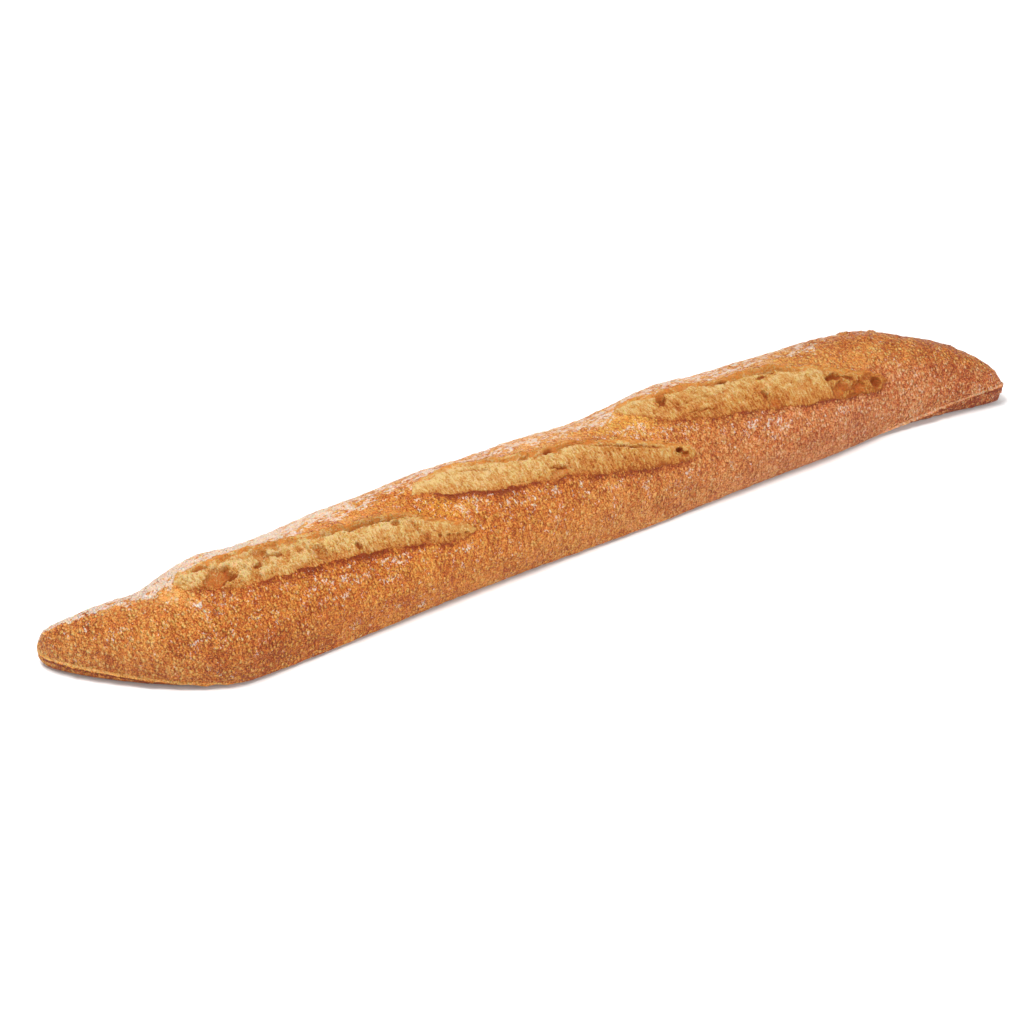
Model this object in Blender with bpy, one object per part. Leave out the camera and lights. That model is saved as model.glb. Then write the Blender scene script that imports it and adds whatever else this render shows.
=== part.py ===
"""Baguette: one long crusty loaf with three slanted slashes that opened in the oven.

Metres, +Z up. The loaf lies along X, rests on Z = 0, and its box is centred on the origin.
The left end (-X) sways to the back (+Y), the right end (+X) to the front (-Y).
"""

import math

import bmesh
import bpy

# ---------------------------------------------------------------- driving dimensions (metres)
LENGTH = 0.550              # tip to tip
WIDTH = 0.0706              # across the body between the ends
HEIGHT = 0.0460             # crown of the body above the base

SECTIONS = 64               # cross sections along the loaf
END_GATHER = 0.38           # how strongly the sections gather towards the tips
TIP_ROUNDING = 0.0050       # length over which each blunt tip closes
TIP_FACE = 0.35             # share of the height that the blunt end face keeps
END_FACE_INSET = 0.0001     # the end faces stand this far inside the tips

# Each end: (left, right)
WIDTH_TAPER = (0.0790, 0.1300)      # how far from the tip the width is still growing
WIDTH_POWER = (1.00, 1.61)
WIDTH_ROOT = (1.40, 1.50)
CORNER_ROUNDING = 0.0070            # softens the corner where the taper meets the body
TIP_HALF_WIDTH = (0.0031, 0.0075)
HEIGHT_TAPER = (0.1330, 0.1240)     # the same for the height
HEIGHT_POWER = (2.19, 2.71)
HEIGHT_ROOT = (1.40, 1.50)
TIP_HEIGHT = (0.0142, 0.0105)
SWAY_REACH = (0.0790, 0.0900)       # length of the part that bends aside
SWAY = (0.0335, -0.0307)            # how far each tip lies off the axis
SWAY_POWER = 1.7
BOW = 0.0038                        # slight bow of the whole loaf to the back
TIP_LIFT = (0.0024, 0.0024)         # the tips curl up off the table
LIFT_REACH = 0.0920

# Cross section: flat base, tucked underside, seam line, domed crown
SHOULDER = 0.34             # widest level as a share of the height
DOME_POWER = 2.15           # superellipse power of the crown
FLAT_SHARE = 0.80           # flat base as a share of the half width
TUCK_SHARE = 0.93           # seam line as a share of the half width
SEAM_LIP = 0.0008           # crust edge standing out over the underside
SEAM_STEP = 0.0003          # height of that edge
MIN_FLANK = 0.0010          # least height from the seam to the widest level
SEAM_HEIGHT = 0.0015        # seam above the base along the body
SEAM_RISE = (0.0031, 0.0061)        # seam above the base at each tip
SEAM_REACH = (0.1120, 0.0920)
BASE_POINTS = 3
TUCK_POINTS = 3
FLANK_POINTS = 4
DOME_POINTS = 11

# The base edge at the front runs in and out a little
EDGE_WAVE = 0.0010
EDGE_WAVE_LENGTH = 0.194
EDGE_WAVE_CREST = 0.036

# Humps and dips along the back of the crown: (x, height, reach)
HUMPS = (
    (-0.224, -0.0016, 0.012),
    (-0.196, 0.0026, 0.018),
    (-0.158, -0.0022, 0.022),
    (-0.066, 0.0016, 0.020),
    (0.030, -0.0024, 0.024),
    (0.078, 0.0030, 0.026),
    (0.160, -0.0010, 0.022),
    (0.212, 0.0018, 0.012),
)
HUMP_ANGLE = math.radians(-32.0)
HUMP_SPREAD = math.radians(34.0)

# The three slashes. Angles are measured round the crown from its top, positive to the front.
SLASHES = (
    # x0, x1: its ends; back, front: angle of each edge at x0 and x1 in degrees, and the power
    # of its course between them; sink: how far the crumb lies below the crust at x0
    dict(x0=-0.2020, x1=-0.0580, back=(-26.0, 48.0, 1.7), front=(25.0, 60.0, 1.2), sink=0.0036),
    dict(x0=-0.0810, x1=0.0730, back=(-27.0, 48.0, 1.7), front=(5.0, 62.0, 0.9), sink=0.0010),
    dict(x0=0.0520, x1=0.2020, back=(-33.0, 48.0, 1.6), front=(10.0, 63.0, 0.8), sink=0.0016),
)
SLASH_SLANT = math.radians(-7.0)    # bubbles lie along the slash
SLASH_BLUNT = 0.09          # share of the slash length over which its left end opens
SLASH_SHARP = 0.16          # the same for its pointed right end
END_POWER = 0.65            # roundness of the opening at both ends
SLASH_GATHER = 0.55         # how strongly the steps gather at the ends of a slash
SLASH_MARGIN = 0.004        # the cut stops this share short of the ends
TROUGH_DEPTH = 0.0052       # floor of the opening below the crust
TROUGH_END = 0.35           # share of that depth at the ends
TROUGH_ABOVE = 0.0060       # how far the cutter stands over the crust
FLAP_UNDERCUT = math.radians(5.0)   # the floor runs in under the flap at the back
TROUGH_STEPS = (26, 5)

# Crumb that rose in each opening
CRUMB_BACK_GAP = 0.16       # open gap under the flap, as a share of the half opening
CRUMB_OVERLAP = 0.10        # the crumb reaches this far into the crust at the front
CRUMB_EDGE = 0.0012         # crumb below the crust at its edges
SINK_REACH = 0.6            # share of the slash over which the sunken start rises
CRUMB_BULGE = 0.0022        # extra rise along its middle
CRUMB_RIPPLE = 0.0005       # lumps across it
CRUMB_RIPPLES = 7.5
CRUMB_ROOT = 0.0085         # how deep the mound reaches into the loaf
CRUMB_STEPS = (34, 8)

# Open bubbles in the crumb: (slash, share along, share across, radius, long axis factor)
HOLLOWS = (
    (0, 0.060, -0.10, 0.0052, 1.2),
    (0, 0.215, -0.35, 0.0040, 1.8),
    (0, 0.430, 0.40, 0.0036, 1.6),
    (1, 0.955, 0.10, 0.0026, 1.6),
    (2, 0.160, -0.30, 0.0036, 1.3),
    (2, 0.780, 0.05, 0.0040, 1.3),
    (2, 0.860, 0.20, 0.0036, 1.2),
    (2, 0.945, 0.10, 0.0034, 1.2),
)
HOLLOW_SINK = 0.0016        # centre of each bubble below the crust

CRUST_COLOR = (0.62, 0.30, 0.10, 1.0)
CRUST_ROUGHNESS = 0.62


# ---------------------------------------------------------------- form of the loaf
def ease(u):
    """Smooth 0..1 step."""
    u = min(max(u, 0.0), 1.0)
    return u * u * (3.0 - 2.0 * u)


def which_end(x):
    """0 for the left half, 1 for the right half."""
    return 0 if x < 0.0 else 1


def tip_distance(x):
    """Distance of a section from its nearer tip."""
    return max(LENGTH / 2.0 - abs(x), 0.0)


def growth(distance, reach, power, root):
    """How far a size has grown from its tip value to its body value, 0..1."""
    u = min(distance / reach, 1.0)
    return (1.0 - (1.0 - u) ** power) ** (1.0 / root)


def tip_closing(x):
    """Quarter-circle closing of the blunt tip, 0 at the tip and 1 beyond the rounding."""
    u = min(tip_distance(x) / TIP_ROUNDING, 1.0)
    return math.sqrt(max(0.0, 1.0 - (1.0 - u) ** 2))


def half_width(x):
    """Half width of the section at x, with the corner at the end of each taper rounded."""
    e = which_end(x)
    distance = tip_distance(x)
    reach = min(distance, CORNER_ROUNDING)
    total = 0.0
    for shift in (-1.0, -0.5, 0.0, 0.5, 1.0):
        total += growth(distance + shift * reach, WIDTH_TAPER[e], WIDTH_POWER[e], WIDTH_ROOT[e])
    return TIP_HALF_WIDTH[e] + (WIDTH / 2.0 - TIP_HALF_WIDTH[e]) * total / 5.0


def height(x):
    """Height of the section at x."""
    e = which_end(x)
    g = growth(tip_distance(x), HEIGHT_TAPER[e], HEIGHT_POWER[e], HEIGHT_ROOT[e])
    return TIP_HEIGHT[e] + (HEIGHT - TIP_HEIGHT[e]) * g


def centre_y(x):
    """Sideways place of the section's centre."""
    e = which_end(x)
    u = max(0.0, 1.0 - tip_distance(x) / SWAY_REACH[e])
    return SWAY[e] * u ** SWAY_POWER + BOW * (1.0 - (2.0 * x / LENGTH) ** 2)


def lift(x):
    """How far the underside is off the table."""
    u = max(0.0, 1.0 - tip_distance(x) / LIFT_REACH)
    return TIP_LIFT[which_end(x)] * u * u


def closed_height(x):
    """Height of the section at x with the rounding of the tip taken off."""
    return height(x) * (TIP_FACE + (1.0 - TIP_FACE) * tip_closing(x))


def base_level(x):
    """Level of the underside at x: the lift, and the lower half of the tip's rounding."""
    return lift(x) + 0.5 * (height(x) - closed_height(x)) * (1.0 - tip_closing(x))


def hump(x, angle):
    """Uneven swelling of the crown."""
    across = math.exp(-(((angle - HUMP_ANGLE) / HUMP_SPREAD) ** 2))
    total = 0.0
    for place, rise, reach in HUMPS:
        total += rise * math.exp(-(((x - place) / reach) ** 2))
    return total * across


def edge_wave(x):
    """How far the front of the base runs out at x."""
    turn = 2.0 * math.pi * (x - EDGE_WAVE_CREST) / EDGE_WAVE_LENGTH
    return EDGE_WAVE * math.cos(turn) * ease(tip_distance(x) / WIDTH_TAPER[which_end(x)])


def seam_level(x):
    """Height of the seam line over the underside at x."""
    e = which_end(x)
    rise = ease(1.0 - tip_distance(x) / SEAM_REACH[e])
    level = SEAM_HEIGHT + (SEAM_RISE[e] - SEAM_HEIGHT) * rise
    return level * (TIP_FACE + (1.0 - TIP_FACE) * tip_closing(x))


def dome_point(x, angle, offset=0.0):
    """Point of the crown at x and at an angle from its top (positive to the front).

    offset moves it out of the crust (positive) or into the loaf (negative).
    """
    close = tip_closing(x)
    h = closed_height(x)
    shoulder = SHOULDER * h
    s = math.sin(angle)
    c = math.cos(angle)
    y = -math.copysign(abs(s) ** (2.0 / DOME_POWER), s) * half_width(x) * close
    z = shoulder + (h - shoulder) * abs(c) ** (2.0 / DOME_POWER)
    out = offset + hump(x, angle) * close
    return (x, centre_y(x) + y - s * out, base_level(x) + z + c * out)


def lower_side(x, side):
    """One side of a section from the base up to the shoulder; side is -1 (front) or 1 (back)."""
    close = tip_closing(x)
    shoulder_width = half_width(x) * close
    base_width = shoulder_width
    if side < 0:
        base_width += edge_wave(x) * close
    seam = seam_level(x)
    shoulder = max(SHOULDER * closed_height(x), seam + MIN_FLANK)
    flat = FLAT_SHARE * base_width
    tuck = TUCK_SHARE * base_width
    lip = tuck + SEAM_LIP * close
    lip_level = seam + SEAM_STEP
    points = []
    for i in range(1, BASE_POINTS + 1):
        points.append((flat * i / BASE_POINTS, 0.0))
    for i in range(1, TUCK_POINTS + 1):
        a = 0.5 * math.pi * i / TUCK_POINTS
        points.append((flat + (tuck - flat) * math.sin(a), seam * (1.0 - math.cos(a))))
    points.append((lip, lip_level))
    for i in range(1, FLANK_POINTS + 1):
        t = i / FLANK_POINTS
        y = lip + (shoulder_width - lip) * (1.0 - (1.0 - t) ** 2)
        points.append((y, lip_level + (shoulder - lip_level) * t))
    return [(x, centre_y(x) + side * y, base_level(x) + z) for y, z in points]


def section_ring(x):
    """Closed ring of points round the loaf at x, from the middle of the base over the front."""
    ring = [(x, centre_y(x), base_level(x))]
    ring += lower_side(x, -1)
    for i in range(1, 2 * DOME_POINTS):
        ring.append(dome_point(x, 0.5 * math.pi * (1.0 - i / DOME_POINTS)))
    ring += reversed(lower_side(x, 1))
    return ring


def section_places():
    """Places of the sections along X, gathered towards the tips."""
    places = []
    for i in range(SECTIONS + 1):
        u = 2.0 * i / SECTIONS - 1.0
        share = (1.0 - END_GATHER) * u + END_GATHER * math.sin(0.5 * math.pi * u)
        places.append(0.5 * LENGTH * share)
    places[0] = -0.5 * LENGTH + END_FACE_INSET
    places[-1] = 0.5 * LENGTH - END_FACE_INSET
    return places


# ---------------------------------------------------------------- slashes and crumb
def slash_place(slash, along, across, undercut=0.0):
    """x and crown angle at a share along (0..1) and across (-1 back .. 1 front) of a slash."""
    x = slash["x0"] + (slash["x1"] - slash["x0"]) * along
    start, end, power = slash["back"]
    back = math.radians(start + (end - start) * along ** power)
    start, end, power = slash["front"]
    front = math.radians(start + (end - start) * along ** power)
    open_left = math.sin(0.5 * math.pi * min(along / SLASH_BLUNT, 1.0)) ** END_POWER
    open_right = math.sin(0.5 * math.pi * min((1.0 - along) / SLASH_SHARP, 1.0)) ** END_POWER
    opening = open_left * open_right
    angle = 0.5 * (back + front) + 0.5 * (front - back) * opening * across
    if across < 0.0:
        angle += undercut * across * opening
    return x, angle


def lens_solid(name, columns, rows, low, high):
    """Closed solid between two grids laid on the surfaces low and high, functions of (u, v)."""
    bm = bmesh.new()
    for surface in (low, high):
        made = bmesh.ops.create_grid(bm, x_segments=columns, y_segments=rows, size=0.5)
        for vert in made["verts"]:
            vert.co = surface(vert.co.x + 0.5, vert.co.y + 0.5)
    borders = [edge for edge in bm.edges if edge.is_boundary]
    bmesh.ops.bridge_loops(bm, edges=borders)
    bmesh.ops.recalc_face_normals(bm, faces=bm.faces)
    mesh = bpy.data.meshes.new(name)
    bm.to_mesh(mesh)
    bm.free()
    return bpy.data.objects.new(name, mesh)


def spread(u):
    """Share along the slash with steps gathered at both ends, just short of its points."""
    gathered = 0.5 * (1.0 - math.cos(math.pi * u))
    share = (1.0 - SLASH_GATHER) * u + SLASH_GATHER * gathered
    return SLASH_MARGIN + (1.0 - 2.0 * SLASH_MARGIN) * share


def slash_cutter(name, slash):
    """Lens-shaped cutter that opens the crust and runs in under the flap."""
    def floor(u, v):
        along = spread(u)
        x, angle = slash_place(slash, along, 2.0 * v - 1.0, FLAP_UNDERCUT)
        deep = TROUGH_DEPTH * (TROUGH_END + (1.0 - TROUGH_END) * math.sin(math.pi * along) ** 0.5)
        return dome_point(x, angle, -deep)

    def top(u, v):
        x, angle = slash_place(slash, spread(u), 2.0 * v - 1.0)
        return dome_point(x, angle, TROUGH_ABOVE)

    return lens_solid(name, TROUGH_STEPS[0], TROUGH_STEPS[1], floor, top)


def crumb_mound(name, slash):
    """Mound of crumb that rose in the opening, with a gap left under the flap."""
    def place(u, v):
        along = spread(u)
        across = -1.0 + CRUMB_BACK_GAP + (2.0 - CRUMB_BACK_GAP + CRUMB_OVERLAP) * v
        x, angle = slash_place(slash, along, across)
        return along, across, x, angle

    def root(u, v):
        along, across, x, angle = place(u, v)
        return dome_point(x, angle, -CRUMB_ROOT)

    def top(u, v):
        along, across, x, angle = place(u, v)
        arch = max(0.0, 1.0 - across * across)
        bulge = CRUMB_BULGE * arch * math.sin(math.pi * along) ** 0.6
        ripple = CRUMB_RIPPLE * arch * math.sin(2.0 * math.pi * CRUMB_RIPPLES * along + 2.0 * across)
        sink = slash["sink"] * (1.0 - ease(along / SINK_REACH))
        return dome_point(x, angle, bulge + ripple - sink - CRUMB_EDGE)

    return lens_solid(name, CRUMB_STEPS[0], CRUMB_STEPS[1], root, top)


def bubble(name, slash, along, across, radius, long_factor):
    """Ellipsoid that opens a bubble in the crumb."""
    x, angle = slash_place(slash, along, across)
    bm = bmesh.new()
    bmesh.ops.create_icosphere(bm, subdivisions=2, radius=radius)
    for vert in bm.verts:
        vert.co.x *= long_factor
    mesh = bpy.data.meshes.new(name)
    bm.to_mesh(mesh)
    bm.free()
    piece = bpy.data.objects.new(name, mesh)
    piece.location = dome_point(x, angle, -HOLLOW_SINK)
    piece.rotation_euler = (angle, 0.0, SLASH_SLANT)
    return piece


def loaf_body(name):
    """Loft through the section rings, closed by a small flat face at each blunt tip."""
    bm = bmesh.new()
    rings = []
    for x in section_places():
        rings.append([bm.verts.new(point) for point in section_ring(x)])
    count = len(rings[0])
    for ring, following in zip(rings[:-1], rings[1:]):
        for j in range(count):
            k = (j + 1) % count
            bm.faces.new((ring[j], ring[k], following[k], following[j]))
    bm.faces.new(reversed(rings[0]))
    bm.faces.new(rings[-1])
    bmesh.ops.recalc_face_normals(bm, faces=bm.faces)
    mesh = bpy.data.meshes.new(name)
    bm.to_mesh(mesh)
    bm.free()
    mesh.shade_smooth()
    return bpy.data.objects.new(name, mesh)


# ---------------------------------------------------------------- scene assembly
def clear_scene():
    """Remove whatever objects the scene starts with."""
    for item in list(bpy.data.objects):
        bpy.data.objects.remove(item, do_unlink=True)


def new_collection(name):
    """Collection linked to the scene."""
    group = bpy.data.collections.new(name)
    bpy.context.scene.collection.children.link(group)
    return group


def crust_material():
    """Baked crust."""
    material = bpy.data.materials.new("crust")
    material.use_nodes = True
    shader = material.node_tree.nodes["Principled BSDF"]
    shader.inputs["Base Color"].default_value = CRUST_COLOR
    shader.inputs["Roughness"].default_value = CRUST_ROUGHNESS
    shader.inputs["Metallic"].default_value = 0.0
    return material


def add_boolean(target, tool, operation, cutters):
    """Boolean of a tool kept in the cutters collection."""
    cutters.objects.link(tool)
    tool.hide_render = True
    tool.display_type = "WIRE"
    modifier = target.modifiers.new(tool.name, "BOOLEAN")
    modifier.operation = operation
    modifier.object = tool
    modifier.solver = "EXACT"


def main():
    """Build the loaf."""
    clear_scene()
    parts = new_collection("baguette")
    cutters = new_collection("cutters")
    loaf = loaf_body("loaf")
    parts.objects.link(loaf)
    loaf.data.materials.append(crust_material())
    for number, slash in enumerate(SLASHES, start=1):
        add_boolean(loaf, slash_cutter(f"slash_{number}", slash), "DIFFERENCE", cutters)
        add_boolean(loaf, crumb_mound(f"crumb_{number}", slash), "UNION", cutters)
    for number, hollow in enumerate(HOLLOWS, start=1):
        slash = SLASHES[hollow[0]]
        tool = bubble(f"bubble_{number}", slash, *hollow[1:])
        add_boolean(loaf, tool, "DIFFERENCE", cutters)


main()
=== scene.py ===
"""A crusty baguette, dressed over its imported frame.

The loaf lies along X and rests on Z = 0. Its left end (-X) sways to the back (+Y), its right
end (+X) to the front (-Y). The crust is one closed mesh with three openings cut through it, and
each opening is filled by its own mound of torn crumb. Angles on the crown are measured from its
top, positive to the front.
"""

import logging
import math
from dataclasses import dataclass, field
from enum import Enum

import bmesh
import bpy
import numpy as np
from mathutils import Matrix, Vector


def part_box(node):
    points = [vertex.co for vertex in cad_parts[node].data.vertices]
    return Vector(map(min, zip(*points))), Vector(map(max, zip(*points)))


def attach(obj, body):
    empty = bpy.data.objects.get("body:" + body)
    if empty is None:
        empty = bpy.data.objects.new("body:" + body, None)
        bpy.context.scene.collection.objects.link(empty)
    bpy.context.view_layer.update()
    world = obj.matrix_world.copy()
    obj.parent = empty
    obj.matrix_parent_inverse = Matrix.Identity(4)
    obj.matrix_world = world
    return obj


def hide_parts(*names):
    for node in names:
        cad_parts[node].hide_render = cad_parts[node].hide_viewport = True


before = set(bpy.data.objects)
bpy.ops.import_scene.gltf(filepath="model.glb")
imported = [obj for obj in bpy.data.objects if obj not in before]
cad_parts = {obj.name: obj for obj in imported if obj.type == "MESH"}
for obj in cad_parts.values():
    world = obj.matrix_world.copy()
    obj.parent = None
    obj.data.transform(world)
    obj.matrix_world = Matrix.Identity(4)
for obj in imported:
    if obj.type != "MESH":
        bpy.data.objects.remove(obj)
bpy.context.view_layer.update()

LOG = logging.getLogger("baguette")
MM = 0.001

Array = np.ndarray
Colour = tuple[float, float, float, float]
Value = float | Colour | tuple | bpy.types.NodeSocket


def ease(value: Array) -> Array:
    """Smooth step from 0 to 1."""
    value = np.clip(value, 0.0, 1.0)
    return value * value * (3.0 - 2.0 * value)


def mix(low: Array, high: Array, share: Array) -> Array:
    """Blend of two values by a share from 0 to 1."""
    return low + (high - low) * share


def rise(value: Array, start: float, end: float) -> Array:
    """Smooth rise from 0 at the start to 1 at the end, whichever of the two is greater."""
    return ease((value - start) / (end - start))


def bell(value: Array, middle: float, reach: float) -> Array:
    """Bell curve, 1 at its middle."""
    return np.exp(-(((value - middle) / reach) ** 2))


@dataclass(frozen=True)
class Course:
    """A value that changes along the loaf, set at places in millimetres."""

    points: tuple[tuple[float, float], ...]

    def at(self, x: Array) -> Array:
        """Value at places along the loaf."""
        places = [place * MM for place, _ in self.points]
        return np.interp(x, places, [value for _, value in self.points])

    def eased(self, x: Array, reach: float) -> Array:
        """Value with its corners rounded over a reach."""
        shifts = np.linspace(-reach, reach, 9)
        return sum(self.at(x + shift) for shift in shifts) / len(shifts)

    @property
    def start(self) -> float:
        """First place, in metres."""
        return self.points[0][0] * MM

    @property
    def end(self) -> float:
        """Last place, in metres."""
        return self.points[-1][0] * MM


@dataclass(frozen=True)
class Grain:
    """Seeded noise over points in space, the same on every run."""

    seed: int

    def _lattice(self, cell: Array) -> Array:
        """Whole-number hash of lattice cells.

        Args:
            cell: Integer cell coordinates, shape (n, 3).

        Returns:
            One unsigned 32-bit hash for each cell.
        """
        part = cell.astype(np.int64).astype(np.uint32)
        value = part[:, 0] * np.uint32(0x8DA6B343)
        value ^= part[:, 1] * np.uint32(0xD8163841)
        value ^= part[:, 2] * np.uint32(0xCB1AB31F)
        value += np.uint32(self.seed * 2654435761 % 2**32)
        value ^= value >> np.uint32(15)
        value *= np.uint32(0x2C1B3C6D)
        value ^= value >> np.uint32(12)
        value *= np.uint32(0x297A2D39)
        value ^= value >> np.uint32(15)
        return value

    def smooth(self, points: Array, size: float) -> Array:
        """Gradient noise, about -1 to 1, whose features are about one size across."""
        scaled = points / size
        base = np.floor(scaled)
        inner = scaled - base
        fade = inner**3 * (inner * (inner * 6.0 - 15.0) + 10.0)
        total = np.zeros(len(points))
        for corner in np.ndindex(2, 2, 2):
            offset = np.array(corner, dtype=float)
            code = self._lattice(base + offset)
            slope_x = (code & np.uint32(1023)).astype(float) / 511.5 - 1.0
            slope_y = ((code >> np.uint32(10)) & np.uint32(1023)).astype(float) / 511.5 - 1.0
            slope_z = ((code >> np.uint32(20)) & np.uint32(1023)).astype(float) / 511.5 - 1.0
            away = inner - offset
            height = slope_x * away[:, 0] + slope_y * away[:, 1] + slope_z * away[:, 2]
            weight = np.prod(np.where(offset > 0.5, fade, 1.0 - fade), axis=1)
            total += height * weight
        return total * 1.4

    def layered(self, points: Array, size: float, layers: int = 4, gain: float = 0.5) -> Array:
        """Sum of noises, each half the size of the one before."""
        total = np.zeros(len(points))
        strength = 1.0
        for layer in range(layers):
            shifted = points + layer * 17.3 * size
            total += strength * self.smooth(shifted, size / 2**layer)
            strength *= gain
        return total

    def ridged(self, points: Array, size: float, layers: int = 3) -> Array:
        """Noise with sharp crests, 0 to 1."""
        total = np.zeros(len(points))
        strength = 0.6
        for layer in range(layers):
            shifted = points + layer * 11.7 * size
            total += strength * (1.0 - np.abs(self.smooth(shifted, size / 2**layer)))
            strength *= 0.45
        return total

    def cells(self, points: Array, size: float) -> tuple[Array, Array]:
        """Cell noise.

        Args:
            points: Places, shape (n, 3).
            size: Width of a cell.

        Returns:
            The distance to the nearest seed, in cells, and a value from 0 to 1 for that cell.
        """
        scaled = points / size
        base = np.floor(scaled)
        nearest = np.full(len(points), 9.0)
        value = np.zeros(len(points))
        for step in np.ndindex(3, 3, 3):
            cell = base + np.array(step, dtype=float) - 1.0
            code = self._lattice(cell)
            seed = np.stack([(code >> np.uint32(shift)) & np.uint32(1023) for shift in (0, 10, 20)], axis=1)
            gap = cell + seed / 1023.0 - scaled
            distance = np.sqrt(np.sum(gap * gap, axis=1))
            closer = distance < nearest
            nearest = np.where(closer, distance, nearest)
            value = np.where(closer, ((code >> np.uint32(5)) & np.uint32(255)) / 255.0, value)
        return nearest, value


@dataclass(frozen=True)
class Layer:
    """One layer of noise: its height and size in metres, and how it is built and drawn out."""

    height: float
    size: float
    layers: int = 3
    gain: float = 0.5
    stretch: tuple[float, float, float] = (1.0, 1.0, 1.0)
    shift: float = 0.0
    level: float = 0.0

    def soft(self, grain: Grain, points: Array) -> Array:
        """Rounded lumps and hollows."""
        place = points * self.stretch + self.shift
        return self.height * grain.layered(place, self.size, self.layers, self.gain)

    def sharp(self, grain: Grain, points: Array) -> Array:
        """Sharp crests that stand over the layer's level."""
        place = points * self.stretch + self.shift
        return self.height * (grain.ridged(place, self.size, self.layers) - self.level)


@dataclass(frozen=True)
class Patch:
    """A soft patch of the crown: place and reach in millimetres along and degrees round."""

    x: float
    angle: float
    long_reach: float
    cross_reach: float
    strength: float = 1.0

    def at(self, x: Array, degrees: Array) -> Array:
        """Strength at places on the crown."""
        along = bell(x, self.x * MM, self.long_reach * MM)
        return self.strength * along * bell(degrees, self.angle, self.cross_reach)


@dataclass(frozen=True)
class LoafEnd:
    """How one end of the loaf tapers, bends aside and lifts (metres)."""

    width_taper: float
    width_power: float
    width_root: float
    tip_half_width: float
    height_taper: float
    height_power: float
    height_root: float
    tip_height: float
    sway_reach: float
    sway: float
    seam_rise: float
    seam_reach: float


LEFT_END = LoafEnd(0.0790, 1.00, 1.40, 0.0031, 0.1330, 2.19, 1.40, 0.0142, 0.0790, 0.0335, 0.0066, 0.0980)
RIGHT_END = LoafEnd(0.1300, 1.61, 1.50, 0.0075, 0.1240, 2.71, 1.50, 0.0105, 0.0900, -0.0307, 0.0120, 0.0960)


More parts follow.
